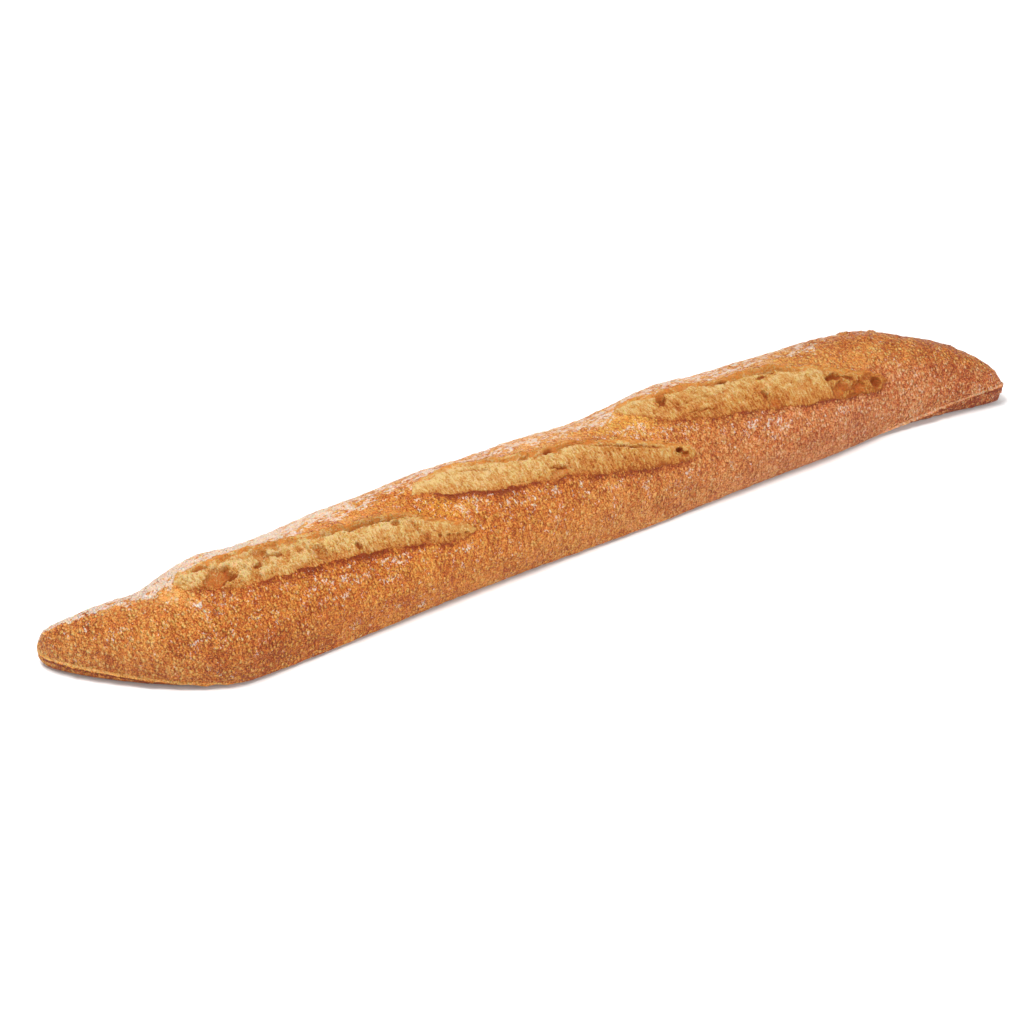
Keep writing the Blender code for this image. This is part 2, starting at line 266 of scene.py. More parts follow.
@dataclass(frozen=True)
class LoafForm:
    """The loaf's own form, the same as its solid's: sections along X, domed and flat below."""

    length: float
    width: float = 0.0706
    height: float = 0.0460
    left: LoafEnd = LEFT_END
    right: LoafEnd = RIGHT_END
    corner: float = 0.0050
    tip_rounding: float = 0.0050
    tip_face: float = 0.35
    sway_power: float = 1.7
    bow: float = 0.0038
    tip_lift: float = 0.0024
    lift_reach: float = 0.0920
    shoulder: float = 0.34
    dome_power: float = 2.15
    flat_share: float = 0.80
    tuck_share: float = 0.93
    seam_lip: float = 0.0008
    seam_step: float = 0.0003
    seam_height: float = 0.0015
    edge_wave: float = 0.0010
    edge_wave_length: float = 0.194
    edge_wave_crest: float = 0.036
    hump_angle: float = math.radians(-32.0)
    hump_spread: float = math.radians(34.0)
    humps: tuple[tuple[float, float, float], ...] = (
        (-0.224, -0.0016, 0.012),
        (-0.196, 0.0026, 0.018),
        (-0.158, -0.0022, 0.022),
        (-0.066, 0.0016, 0.020),
        (0.030, -0.0024, 0.024),
        (0.078, 0.0030, 0.026),
        (0.160, -0.0010, 0.022),
        (0.212, 0.0018, 0.012),
    )

    def pick(self, x: Array, name: str) -> Array:
        """Size of the left or the right end, by the side that x lies on."""
        return np.where(x < 0.0, getattr(self.left, name), getattr(self.right, name))

    def tip_distance(self, x: Array) -> Array:
        """Distance of a section from its nearer tip."""
        return np.maximum(self.length / 2.0 - np.abs(x), 0.0)

    def growth(self, distance: Array, reach: Array, power: Array, root: Array) -> Array:
        """How far a size has grown from the tip to the body, 0 to 1."""
        share = np.clip(distance / reach, 0.0, 1.0)
        return (1.0 - (1.0 - share) ** power) ** (1.0 / root)

    def closing(self, x: Array) -> Array:
        """Quarter-circle closing of the blunt tip."""
        share = np.clip(self.tip_distance(x) / self.tip_rounding, 0.0, 1.0)
        return np.sqrt(np.maximum(0.0, 1.0 - (1.0 - share) ** 2))

    def half_width(self, x: Array) -> Array:
        """Half width of the section at x, with the corner of the taper rounded."""
        distance = self.tip_distance(x)
        reach = np.minimum(distance, self.corner)
        sizes = [self.pick(x, name) for name in ("width_taper", "width_power", "width_root")]
        total = 0.0
        for shift in (-1.0, -0.5, 0.0, 0.5, 1.0):
            total = total + self.growth(distance + shift * reach, *sizes)
        tip = self.pick(x, "tip_half_width")
        return tip + (self.width / 2.0 - tip) * total / 5.0

    def full_height(self, x: Array) -> Array:
        """Height of the section at x before the tip is rounded."""
        sizes = [self.pick(x, name) for name in ("height_taper", "height_power", "height_root")]
        tip = self.pick(x, "tip_height")
        return tip + (self.height - tip) * self.growth(self.tip_distance(x), *sizes)

    def closed_height(self, x: Array) -> Array:
        """Height of the section at x with the rounding of the tip taken off."""
        return self.full_height(x) * (self.tip_face + (1.0 - self.tip_face) * self.closing(x))

    def centre_y(self, x: Array) -> Array:
        """Sideways place of the section's centre."""
        share = np.maximum(0.0, 1.0 - self.tip_distance(x) / self.pick(x, "sway_reach"))
        bow = self.bow * (1.0 - (2.0 * x / self.length) ** 2)
        return self.pick(x, "sway") * share**self.sway_power + bow

    def base_level(self, x: Array) -> Array:
        """Level of the underside at x."""
        share = np.maximum(0.0, 1.0 - self.tip_distance(x) / self.lift_reach)
        lift = self.tip_lift * share * share
        return lift + 0.5 * (self.full_height(x) - self.closed_height(x)) * (1.0 - self.closing(x))

    def seam_level(self, x: Array) -> Array:
        """Height of the seam line above the underside."""
        rise = ease(1.0 - self.tip_distance(x) / self.pick(x, "seam_reach"))
        level = self.seam_height + (self.pick(x, "seam_rise") - self.seam_height) * rise
        return level * (self.tip_face + (1.0 - self.tip_face) * self.closing(x))

    def hump(self, x: Array, angle: Array) -> Array:
        """Uneven swelling of the crown."""
        total = 0.0
        for place, rise, reach in self.humps:
            total = total + rise * np.exp(-(((x - place) / reach) ** 2))
        return total * np.exp(-(((angle - self.hump_angle) / self.hump_spread) ** 2))

    def dome(self, x: Array, angle: Array, offset: Array = 0.0) -> Array:
        """Points of the crown.

        Args:
            x: Places along the loaf.
            angle: Angles from the top of the crown, positive to the front.
            offset: How far the points stand out of the crust.

        Returns:
            The points, with x, y and z in the last axis.
        """
        close = self.closing(x)
        high = self.closed_height(x)
        shoulder = self.shoulder * high
        sine, cosine = np.sin(angle), np.cos(angle)
        power = 2.0 / self.dome_power
        y = -np.sign(sine) * np.abs(sine) ** power * self.half_width(x) * close
        z = shoulder + (high - shoulder) * np.abs(cosine) ** power
        out = offset + self.hump(x, angle) * close
        y = self.centre_y(x) + y - sine * out
        z = self.base_level(x) + z + cosine * out
        return np.stack(np.broadcast_arrays(x, y, z), axis=-1)

    def lower(self, x: Array, side: float, kind: "Part", share: float) -> Array:
        """Points below the shoulder on one side.

        Args:
            x: Places along the loaf.
            side: -1 for the front, 1 for the back.
            kind: Which part of the section the points lie on.
            share: How far along that part, 0 to 1, from the base up.

        Returns:
            The points, with x, y and z in the last axis.
        """
        close = self.closing(x)
        shoulder_width = self.half_width(x) * close
        turn = 2.0 * math.pi * (x - self.edge_wave_crest) / self.edge_wave_length
        wave = self.edge_wave * np.cos(turn) * ease(self.tip_distance(x) / self.pick(x, "width_taper"))
        width = shoulder_width + (wave * close if side < 0.0 else 0.0)
        seam = self.seam_level(x)
        flat = self.flat_share * width
        tuck = self.tuck_share * width
        lip = tuck + self.seam_lip * close
        top = np.maximum(self.shoulder * self.closed_height(x), seam + 0.001)
        if kind is Part.BASE:
            y, z = flat * share, np.zeros_like(x)
        elif kind is Part.TUCK:
            turn = 0.5 * math.pi * share
            y, z = flat + (tuck - flat) * math.sin(turn), seam * (1.0 - math.cos(turn))
        elif kind is Part.LIP:
            y, z = tuck + (lip - tuck) * share, seam + self.seam_step * share
        else:
            y = lip + (shoulder_width - lip) * (1.0 - (1.0 - share) ** 2)
            z = seam + self.seam_step + (top - seam - self.seam_step) * share
        return np.stack([x, self.centre_y(x) + side * y, self.base_level(x) + z], axis=-1)

    def crown_angle(self, points: Array) -> Array:
        """Angle on the crown of points that lie on or near it, past a right angle below it."""
        x = points[:, 0]
        close = np.maximum(self.closing(x), 0.05)
        high = self.closed_height(x)
        shoulder = self.shoulder * high
        half = self.dome_power / 2.0
        across = (self.centre_y(x) - points[:, 1]) / (self.half_width(x) * close)
        up = (points[:, 2] - self.base_level(x) - shoulder) / np.maximum(high - shoulder, 1e-6)
        across = np.sign(across) * np.abs(across) ** half
        up = np.sign(up) * np.abs(up) ** half
        return np.arctan2(across, up)


class Part(Enum):
    """The parts of a section, from the middle of the base upwards."""

    BASE = "base"
    TUCK = "tuck"
    LIP = "lip"
    FLANK = "flank"
    DOME = "dome"


@dataclass(frozen=True)
class Pit:
    """A hollow: place (millimetres along, degrees round), radii and depth (metres); dark is the painted shade
    in it.
    """

    x: float
    angle: float
    long_radius: float
    cross_radius: float
    depth: float
    glaze: float = 0.0
    dark: float = 0.6
    turn: float = 0.0


@dataclass(frozen=True)
class Tear:
    """A torn or folded line between two places (millimetres along, degrees round).

    A positive depth is a groove, a negative one a raised fold. The lip stands along its front. Dark is the
    painted shade in a groove.
    """

    start: tuple[float, float]
    end: tuple[float, float]
    width: float
    depth: float
    lip: float = 0.0
    dark: float = 0.7


@dataclass(frozen=True)
class Crown:
    """Flat map of the crown: metres along the loaf and metres round it."""

    radius: float = 0.036

    def flat(self, x: Array, angle: Array) -> Array:
        """Flat places of points on the crown."""
        return np.stack([x, angle * self.radius, np.zeros_like(x)], axis=1)

    def place(self, x: float, angle: float) -> Array:
        """Flat place of one point given in millimetres and degrees."""
        return np.array([x * MM, math.radians(angle) * self.radius])

    def pits(self, flat: Array, pits: tuple[Pit, ...], wave: Array) -> tuple[Array, Array, Array]:
        """Hollows.

        Args:
            flat: Flat places of the surface.
            pits: The hollows.
            wave: Unevenness of their outlines.

        Returns:
            Heights to add, how much painted shade each place holds and how glazed, both 0 to 1.
        """
        height, dark, glaze = np.zeros(len(flat)), np.zeros(len(flat)), np.zeros(len(flat))
        for pit in pits:
            gap = flat[:, :2] - self.place(pit.x, pit.angle)
            turn = math.radians(pit.turn)
            long = (gap[:, 0] * math.cos(turn) + gap[:, 1] * math.sin(turn)) / pit.long_radius
            cross = (gap[:, 1] * math.cos(turn) - gap[:, 0] * math.sin(turn)) / pit.cross_radius
            reach = np.hypot(long, cross) * (1.0 + wave)
            bowl = np.sqrt(np.clip(1.0 - reach**2, 0.0, 1.0))
            height -= pit.depth * bowl
            height += 0.16 * min(pit.depth, 0.002) * np.exp(-(((reach - 1.15) / 0.18) ** 2))
            dark = np.maximum(dark, pit.dark * ease(bowl * 1.15))
            glaze = np.maximum(glaze, pit.glaze * ease(bowl * 2.0))
        return height, dark, glaze

    def tears(self, flat: Array, tears: tuple[Tear, ...], wave: Array) -> tuple[Array, Array]:
        """Torn lines and folds.

        Args:
            flat: Flat places of the surface.
            tears: The lines.
            wave: Sideways waver of the lines, in metres.

        Returns:
            Heights to add, and how much painted shade each place holds, 0 to 1.
        """
        height, dark = np.zeros(len(flat)), np.zeros(len(flat))
        for tear in tears:
            first, last = self.place(*tear.start), self.place(*tear.end)
            line = last - first
            size = float(np.hypot(*line))
            gap = flat[:, :2] - first
            share = (gap @ line) / size**2
            side = (gap[:, 1] * line[0] - gap[:, 0] * line[1]) / size
            side = np.sign(line[0] + 1e-9) * side + wave
            fade = ease(1.5 - np.abs(share - 0.5) * 2.0) * (np.abs(share - 0.5) < 0.75)
            cut = np.exp(-((side / tear.width) ** 2)) * fade
            height -= tear.depth * cut
            height += tear.lip * fade * np.exp(-(((side - 1.7 * tear.width) / (1.2 * tear.width)) ** 2))
            if tear.depth > 0.0:
                dark = np.maximum(dark, tear.dark * cut**1.3)
        return height, dark


CROWN = Crown()


@dataclass(frozen=True)
class Slash:
    """The opening that one slash left in the crust: the angles of both edges along the loaf."""

    name: str
    seed: int
    back: Course
    front: Course
    rim: Course
    scorch: Course
    wobble: float = 0.0015
    outline_points: int = 380

    @property
    def start(self) -> float:
        """Left end."""
        return self.back.start

    @property
    def end(self) -> float:
        """Right end."""
        return self.back.end

    def opening(self, x: Array) -> tuple[Array, Array]:
        """Angles of the back and the front edge at x, meeting at the ends.

        Args:
            x: Places along the loaf.

        Returns:
            The back edge's and the front edge's angle.
        """
        back, front = np.radians(self.back.at(x)), np.radians(self.front.at(x))
        middle, half = 0.5 * (back + front), 0.5 * (front - back)
        grain = Grain(self.seed)
        place = np.stack([x, np.zeros_like(x), np.zeros_like(x)], axis=-1)
        reach = self.wobble / CROWN.radius * ease(half / 0.15)
        back = back + reach * grain.layered(place, 0.0075, 4, 0.75)
        front = front + reach * grain.layered(place + 0.5, 0.0075, 4, 0.75)
        return np.minimum(back, middle), np.maximum(front, middle)

    def edge_distance(self, x: Array, angle: Array) -> Array:
        """Distance to the outline of the opening, positive inside it.

        Args:
            x: Places along the loaf.
            angle: Angles on the crown.

        Returns:
            Distances in metres, capped at 20 mm outside.
        """
        steps = 0.5 * (1.0 - np.cos(np.linspace(0.0, math.pi, self.outline_points)))
        places = self.start + (self.end - self.start) * steps
        back, front = self.opening(places)
        outline = CROWN.flat(np.concatenate([places, places]), np.concatenate([back, front]))
        far = 20.0 * MM
        result = np.full(len(x), -far)
        flat = CROWN.flat(x, angle)
        near = np.all((flat > outline.min(axis=0) - far) & (flat < outline.max(axis=0) + far), axis=1)
        picked = np.nonzero(near)[0]
        for chunk in np.array_split(picked, max(1, len(picked) // 20000 + 1)):
            gap = flat[chunk, None, :2] - outline[None, :, :2]
            result[chunk] = -np.sqrt(np.min(np.sum(gap * gap, axis=2), axis=1))
        low, high = self.opening(x)
        inside = near & (angle > low) & (angle < high) & (x > self.start) & (x < self.end)
        result[inside] = -result[inside]
        return np.maximum(result, -far)

    def frontward(self, x: Array, angle: Array) -> Array:
        """0 on the back edge's side of the opening, 1 on the front edge's side."""
        low, high = self.opening(x)
        return ease((angle - 0.5 * (low + high)) / 0.2 + 0.5)


LEFT_SLASH = Slash(
    "left", 11,
    back=Course(((-211, -9), (-206, -18), (-199, -15), (-187, -16), (-172, -17), (-156, -10),
                 (-138, -1), (-113, 3), (-98, 9), (-88, 13), (-84, 20), (-72, 32), (-64, 40), (-59, 50))),
    front=Course(((-211, -9), (-208, 3), (-202, 8), (-194, 14), (-184, 21), (-171, 25), (-157, 29),
                  (-152, 25), (-146, 29), (-134, 32), (-122, 33), (-105, 39), (-93, 43), (-79, 51),
                  (-66, 54), (-59, 50))),
    rim=Course(((-211, 0.2), (-200, 1.2), (-180, 1.6), (-120, 2.0), (-92, 1.8), (-86, 0.5), (-60, 0.2))),
    scorch=Course(((-211, 0.3), (-175, 0.5), (-160, 1.0), (-150, 1.5), (-112, 1.5), (-100, 0.8), (-59, 0.5))),
)
MIDDLE_SLASH = Slash(
    "middle", 12,
    back=Course(((-81, -2), (-76, -12), (-71, -15), (-56, -21), (-46, -20), (-38, -15), (-25, -8), (-4, -1),
                 (12, 0), (21, 5), (34, 15), (50, 27), (64, 38), (71, 46), (73, 55))),
    front=Course(((-81, -2), (-75, 0), (-68, 4), (-61, 12), (-51, 15), (-40, 22), (-33, 23), (-16, 29),
                  (0, 33), (17, 42), (30, 47), (50, 55), (66, 59), (73, 55))),
    rim=Course(((-81, 0.4), (-60, 1.2), (-30, 1.7), (10, 1.5), (20, 0.7), (40, 0.4), (73, 0.2))),
    scorch=Course(((-81, 0.8), (-64, 1.4), (-32, 1.5), (-20, 0.9), (40, 0.7), (73, 0.3))),
)
RIGHT_SLASH = Slash(
    "right", 13,
    back=Course(((47, -18), (52, -26), (60, -26), (72, -17), (90, -17), (98, -10), (107, -8), (124, -8),
                 (139, -5), (150, 4), (161, 10), (170, 19), (180, 28), (189, 36), (197, 43), (200, 51))),
    front=Course(((47, -18), (50, -5), (58, 4), (68, 16), (79, 22), (90, 28), (104, 32), (124, 39),
                  (139, 45), (154, 48), (165, 53), (176, 57), (186, 60), (195, 59), (200, 51))),
    rim=Course(((47, 0.2), (60, 0.8), (72, 0.8), (98, 0.9), (110, 1.4), (140, 2.0), (158, 1.0), (166, 0.3),
                (200, 0.2))),
    scorch=Course(((47, 0.3), (70, 0.5), (110, 0.5), (160, 0.7), (200, 0.7))),
)
SLASHES = (LEFT_SLASH, MIDDLE_SLASH, RIGHT_SLASH)


class Shaper:
    """Hand tools for meshes: adding, picking, moving and finishing."""

    @staticmethod
    def deselect() -> None:
        """Leaves object mode clean, with nothing selected."""
        if bpy.context.mode != "OBJECT":
            bpy.ops.object.mode_set(mode="OBJECT")
        bpy.ops.object.select_all(action="DESELECT")

    @staticmethod
    def activate(piece: bpy.types.Object) -> None:
        """Selects one piece alone and makes it the active one."""
        Shaper.deselect()
        piece.select_set(True)
        bpy.context.view_layer.objects.active = piece

    @staticmethod
    def added(name: str) -> bpy.types.Object:
        """Names the primitive that was just added."""
        piece = bpy.context.active_object
        piece.name = name
        piece.data.name = name
        return piece

    @staticmethod
    def read(piece: bpy.types.Object) -> Array:
        """Vertex places of a piece, shape (n, 3)."""
        flat = np.empty(len(piece.data.vertices) * 3)
        piece.data.vertices.foreach_get("co", flat)
        return flat.reshape(-1, 3)

    @staticmethod
    def write(piece: bpy.types.Object, points: Array) -> None:
        """Moves a piece's vertices to new places."""
        piece.data.vertices.foreach_set("co", points.ravel())
        piece.data.update()

    @staticmethod
    def recalculate(piece: bpy.types.Object) -> None:
        """Turns all faces outwards."""
        Shaper.activate(piece)
        bpy.ops.object.mode_set(mode="EDIT")
        bpy.ops.mesh.select_all(action="SELECT")
        bpy.ops.mesh.normals_make_consistent(inside=False)
        body = bmesh.from_edit_mesh(piece.data)
        if body.calc_volume(signed=True) < 0.0:
            bpy.ops.mesh.flip_normals()
        bpy.ops.object.mode_set(mode="OBJECT")

    @staticmethod
    def attribute(piece: bpy.types.Object, name: str, values: Array) -> None:
        """Stores one number for each vertex under a name that materials read."""
        layer = piece.data.attributes.new(name, "FLOAT", "POINT")
        layer.data.foreach_set("value", values.astype(np.float32))


GLOW_COLOURS = (1.0, 0.30, 0.08)


class Recipe:
    """Short hand for a node material."""

    def __init__(self, name: str) -> None:
        """Starts an empty material with its shader and output."""
        self.material = bpy.data.materials.new(name)
        self.material.use_nodes = True
        self.tree = self.material.node_tree
        self.shader = self.tree.nodes["Principled BSDF"]
        self.place = self.node("ShaderNodeTexCoord").outputs["Object"]

    def node(self, kind: str, settings: dict[str, object] | None = None,
             inputs: dict[str | int, Value] | None = None) -> bpy.types.Node:
        """Adds a node.

        Args:
            kind: Blender's name of the node type.
            settings: Properties to set on the node.
            inputs: Values or sockets for its inputs, by name or number.

        Returns:
            The node.
        """
        made = self.tree.nodes.new(kind)
        for key, value in (settings or {}).items():
            setattr(made, key, value)
        for key, value in (inputs or {}).items():
            self.join(made.inputs[key], value)
        return made

    def join(self, socket: bpy.types.NodeSocket, value: Value) -> None:
        """Links a socket to another, or sets its value."""
        if isinstance(value, bpy.types.NodeSocket):
            self.tree.links.new(value, socket)
        else:
            socket.default_value = value

    def stretched(self, scale: tuple[float, float, float]) -> bpy.types.NodeSocket:
        """The place on the object with each axis scaled."""
        return self.node("ShaderNodeMapping", {}, {"Vector": self.place, "Scale": scale}).outputs[0]

    def noise(self, scale: float, detail: float = 3.0, rough: float = 0.5,
              vector: bpy.types.NodeSocket | None = None, warp: float = 0.0) -> bpy.types.NodeSocket:
        """Noise from 0 to 1 of about the given number of features a metre."""
        inputs = {"Vector": vector or self.place, "Scale": scale, "Detail": detail,
                  "Roughness": rough, "Distortion": warp}
        return self.node("ShaderNodeTexNoise", {}, inputs).outputs["Fac"]

    def cells(self, scale: float, vector: bpy.types.NodeSocket | None = None) -> bpy.types.Node:
        """Cell pattern of about the given number of cells a metre."""
        return self.node("ShaderNodeTexVoronoi", {}, {"Vector": vector or self.place, "Scale": scale})

    def channel(self, colour: bpy.types.NodeSocket, number: int) -> bpy.types.NodeSocket:
        """One channel of a colour."""
        return self.node("ShaderNodeSeparateColor", {}, {0: colour}).outputs[number]

    def math(self, operation: str, first: Value, second: Value) -> bpy.types.NodeSocket:
        """Sum, product or another operation of two numbers."""
        return self.node("ShaderNodeMath", {"operation": operation}, {0: first, 1: second}).outputs[0]

    def times(self, first: Value, second: Value) -> bpy.types.NodeSocket:
        """Product of two numbers."""
        return self.math("MULTIPLY", first, second)

    def total(self, *parts: tuple[Value, float]) -> bpy.types.NodeSocket:
        """Sum of numbers, each with its weight."""
        result = self.times(*parts[0])
        for value, weight in parts[1:]:
            result = self.math("ADD", result, self.times(value, weight))
        return result

    def between(self, share: Value, low: Value, high: Value) -> bpy.types.NodeSocket:
        """Mixes two numbers."""
        return self.node("ShaderNodeMix", {"data_type": "FLOAT"}, {0: share, 2: low, 3: high}).outputs[0]

    def span(self, value: Value, low: float, high: float, to_low: float = 0.0,
             to_high: float = 1.0) -> bpy.types.NodeSocket:
        """Maps a range of a number smoothly to another range."""
        inputs = {"Value": value, "From Min": low, "From Max": high, "To Min": to_low, "To Max": to_high}
        settings = {"interpolation_type": "SMOOTHSTEP"}
        return self.node("ShaderNodeMapRange", settings, inputs).outputs["Result"]

    def blend(self, share: Value, low: Value, high: Value, how: str = "MIX") -> bpy.types.NodeSocket:
        """Mixes two colours."""
        settings = {"data_type": "RGBA", "blend_type": how}
        inputs = {0: share, 6: low, 7: high}
        return self.node("ShaderNodeMix", settings, inputs).outputs[2]

    def tinted(self, share: Value, colour: Value, tint: Colour) -> bpy.types.NodeSocket:
        """A colour multiplied by a tint, by a share from 0 to 1."""
        return self.blend(share, colour, self.blend(1.0, colour, tint, "MULTIPLY"))

    def ramp(self, value: Value, stops: tuple[tuple[float, Colour], ...]) -> bpy.types.NodeSocket:
        """Colour picked from a row of stops."""
        made = self.node("ShaderNodeValToRGB", {}, {0: value})
        elements = made.color_ramp.elements
        while len(elements) < len(stops):
            elements.new(0.5)
        for element, (place, colour) in zip(elements, stops):
            element.position = place
            element.color = colour
        return made.outputs[0]

    def stored(self, name: str) -> bpy.types.NodeSocket:
        """A number stored on the mesh."""
        return self.node("ShaderNodeAttribute", {"attribute_name": name}).outputs["Fac"]

    def bump(self, height: bpy.types.NodeSocket, depth: float, strength: float = 1.0) -> bpy.types.NodeSocket:
        """Normal bent by a height whose full range is the given depth."""
        inputs = {"Height": height, "Distance": depth, "Strength": strength}
        return self.node("ShaderNodeBump", {}, inputs).outputs[0]

    def glow(self, weight: float, reach: float) -> None:
        """Lets light, red light most of all, soak a little way in."""
        self.shader.inputs["Subsurface Weight"].default_value = weight
        self.shader.inputs["Subsurface Radius"].default_value = GLOW_COLOURS
        self.shader.inputs["Subsurface Scale"].default_value = reach

    def finish(self, colour: Value, roughness: Value, shine: float,
               normal: bpy.types.NodeSocket | None = None) -> bpy.types.Material:
        """Joins colour, roughness, shine and normal to the shader.

        Args:
            colour: Base colour.
            roughness: Roughness, 0 to 1.
            shine: Strength of the plain reflection.
            normal: Bent normal, if any.

        Returns:
            The finished material.
        """
        self.join(self.shader.inputs["Base Color"], colour)
        self.join(self.shader.inputs["Roughness"], roughness)
        self.shader.inputs["Specular IOR Level"].default_value = shine
        if normal is not None:
            self.join(self.shader.inputs["Normal"], normal)
        return self.material


@dataclass(frozen=True)
class CrustFinish:
    """Baked crust: golden blisters on a browner ground, with flour on the crown.

    Counts are features a metre. Weights say how much each feature adds to the tone, to the dust or
    to the height of the bump.
    """

    scorched: Colour = (0.240, 0.044, 0.007, 1.0)
    brown: Colour = (0.385, 0.096, 0.014, 1.0)
    amber: Colour = (0.485, 0.152, 0.027, 1.0)
    golden: Colour = (0.605, 0.243, 0.052, 1.0)
    straw: Colour = (0.725, 0.355, 0.094, 1.0)
    cream: Colour = (0.840, 0.510, 0.200, 1.0)
    tones: tuple[float, ...] = (0.11, 0.20, 0.305, 0.395, 0.515, 0.71)
    rusty: Colour = (1.04, 0.85, 0.70, 1.0)
    gilded: Colour = (1.02, 1.01, 0.91, 1.0)
    pink: Colour = (1.01, 1.02, 2.00, 1.0)
    warm: Colour = (1.01, 0.94, 0.74, 1.0)
    gold: Colour = (1.00, 1.07, 0.72, 1.0)
    flour: Colour = (0.860, 0.740, 0.620, 1.0)
    underside: Colour = (0.500, 0.240, 0.120, 1.0)
    blister_count: float = 580.0
    grain_count: float = 1050.0
    wander_count: float = 600.0
    wander: float = 0.0006
    blister_stretch: tuple[float, float, float] = (1.0, 0.70, 0.70)
    streak_counts: tuple[float, float, float] = (760.0, 300.0, 300.0)
    mottle_count: float = 70.0
    fine_count: float = 1250.0
    patch_count: float = 230.0
    hue_count: float = 330.0
    dot_edges: tuple[float, float] = (0.60, 0.15)
    blister_weight: float = 0.75
    grain_weight: float = 0.25
    knob_weight: float = 0.50
    streak_weight: float = 0.22
    mottle_weight: float = 0.09
    fine_weight: float = 0.28
    toast_and_shade_weight: float = -0.15
    front_dust_counts: tuple[float, float, float] = (820.0, 560.0, 560.0)
    ridge_dust_counts: tuple[float, float, float] = (260.0, 560.0, 560.0)
    dust_detail: float = 4.0
    dust_rough: float = 0.66
    dust_warp: float = 0.8
    spread_count: float = 190.0
    spread_weight: float = 0.58
    flour_weight: float = 0.26
    dust_edges: tuple[float, float] = (0.684, 0.748)
    dust_cover: float = 0.92
    bump_streaks: float = 0.45
    bump_fine: float = 0.30
    bump_depth: float = 0.00260
    bare_roughness: float = 0.46
    dusty_roughness: float = 0.90
    shine: float = 0.24
    glow: float = 0.25
    glow_reach: float = 0.0004

    def blisters(self, recipe: Recipe, patches: bpy.types.NodeSocket) -> bpy.types.NodeSocket:
        """Large blisters among small grains, 0 to 1.

        Args:
            recipe: The material.
            patches: Where the blisters stand out more.

        Returns:
            The pattern.
        """
        wander = recipe.node("ShaderNodeTexNoise", {},
                             {"Vector": recipe.place, "Scale": self.wander_count, "Detail": 2.0})
        bent = recipe.node("ShaderNodeVectorMath", {"operation": "MULTIPLY_ADD"},
                           {0: wander.outputs["Color"], 1: (self.wander,) * 3,
                            2: recipe.stretched(self.blister_stretch)}).outputs[0]
        blister = recipe.cells(self.blister_count, bent)
        grain = recipe.cells(self.grain_count, bent)
        own = recipe.channel(blister.outputs["Color"], 0)
        dots = recipe.times(recipe.span(blister.outputs["Distance"], *self.dot_edges),
                            recipe.span(own, -0.2, 0.8))
        grainy = recipe.math("ADD", patches, recipe.stored("grainy"))
        dots = recipe.times(dots, recipe.span(grainy, 0.25, 0.90, 0.62))
        small = recipe.span(grain.outputs["Distance"], *self.dot_edges)
        return recipe.total((dots, self.blister_weight), (small, self.grain_weight))

    def dust(self, recipe: Recipe) -> bpy.types.NodeSocket:
        """Flour in specks: drawn round the loaf at the front, along it on the ridge."""
        front, ridge = (
            recipe.noise(1.0, self.dust_detail, self.dust_rough, recipe.stretched(counts), self.dust_warp)
            for counts in (self.front_dust_counts, self.ridge_dust_counts))
        dust = recipe.between(recipe.stored("ridge"), front, ridge)
        spread = recipe.math("SUBTRACT", recipe.noise(self.spread_count, 3.0, 0.6), 0.5)
        return recipe.total((dust, 1.0), (recipe.stored("flour"), self.flour_weight),
                            (spread, self.spread_weight))

    def material(self) -> bpy.types.Material:
        """Builds the crust's material."""
        recipe = Recipe("crust")
        knobs = self.blisters(recipe, recipe.noise(self.patch_count, 2.0, 0.5))
        streaks = recipe.noise(1.0, 3.0, 0.65, recipe.stretched(self.streak_counts), 0.3)
        mottle = recipe.noise(self.mottle_count, 3.0, 0.55)
        fine = recipe.noise(self.fine_count, 3.0, 0.65)
        # The stored browning carries painted shade in the creases and in a band under the seam's lip.
        tone = recipe.total(
            (knobs, self.knob_weight), (recipe.span(streaks, 0.30, 0.70), self.streak_weight),
            (recipe.span(mottle, 0.32, 0.68), self.mottle_weight),
            (recipe.span(fine, 0.36, 0.64), self.fine_weight), (recipe.stored("toast_and_shade"), self.toast_and_shade_weight))
        colours = (self.scorched, self.brown, self.amber, self.golden, self.straw, self.cream)
        body = recipe.ramp(tone, tuple(zip(self.tones, colours)))
        hue = recipe.span(recipe.noise(self.hue_count, 2.0, 0.6), 0.38, 0.62)
        body = recipe.blend(1.0, body, recipe.blend(hue, self.rusty, self.gilded), "MULTIPLY")
        for name, tint in (("ruddy", self.pink), ("warm", self.warm), ("gold", self.gold)):
            body = recipe.tinted(recipe.stored(name), body, tint)
        dust = recipe.times(recipe.span(self.dust(recipe), *self.dust_edges),
                            recipe.span(knobs, -0.2, 0.5, 0.50))
        body = recipe.blend(recipe.times(dust, self.dust_cover), body, self.flour)
        body = recipe.blend(recipe.stored("underside"), body, self.underside)
        rough = recipe.span(dust, 0.0, 1.0, self.bare_roughness, self.dusty_roughness)
        height = recipe.total((knobs, 1.0), (streaks, self.bump_streaks), (fine, self.bump_fine))
        recipe.glow(self.glow, self.glow_reach)
        return recipe.finish(body, rough, self.shine, recipe.bump(height, self.bump_depth))


@dataclass(frozen=True)
class TornEdgeFinish:
    """The thickness of the crust where a slash opened it."""

    dark: Colour = (0.430, 0.135, 0.028, 1.0)
    light: Colour = (0.620, 0.310, 0.100, 1.0)
    count: float = 500.0
    roughness: float = 0.7
    shine: float = 0.2
    bump_depth: float = 0.0003
    bump_strength: float = 0.8

    def material(self) -> bpy.types.Material:
        """Builds the torn edge's material."""
        recipe = Recipe("torn_edge")
        tone = recipe.noise(self.count, 3.0, 0.6)
        body = recipe.blend(recipe.span(tone, 0.35, 0.65), self.dark, self.light)
        return recipe.finish(body, self.roughness, self.shine,
                             recipe.bump(tone, self.bump_depth, self.bump_strength))


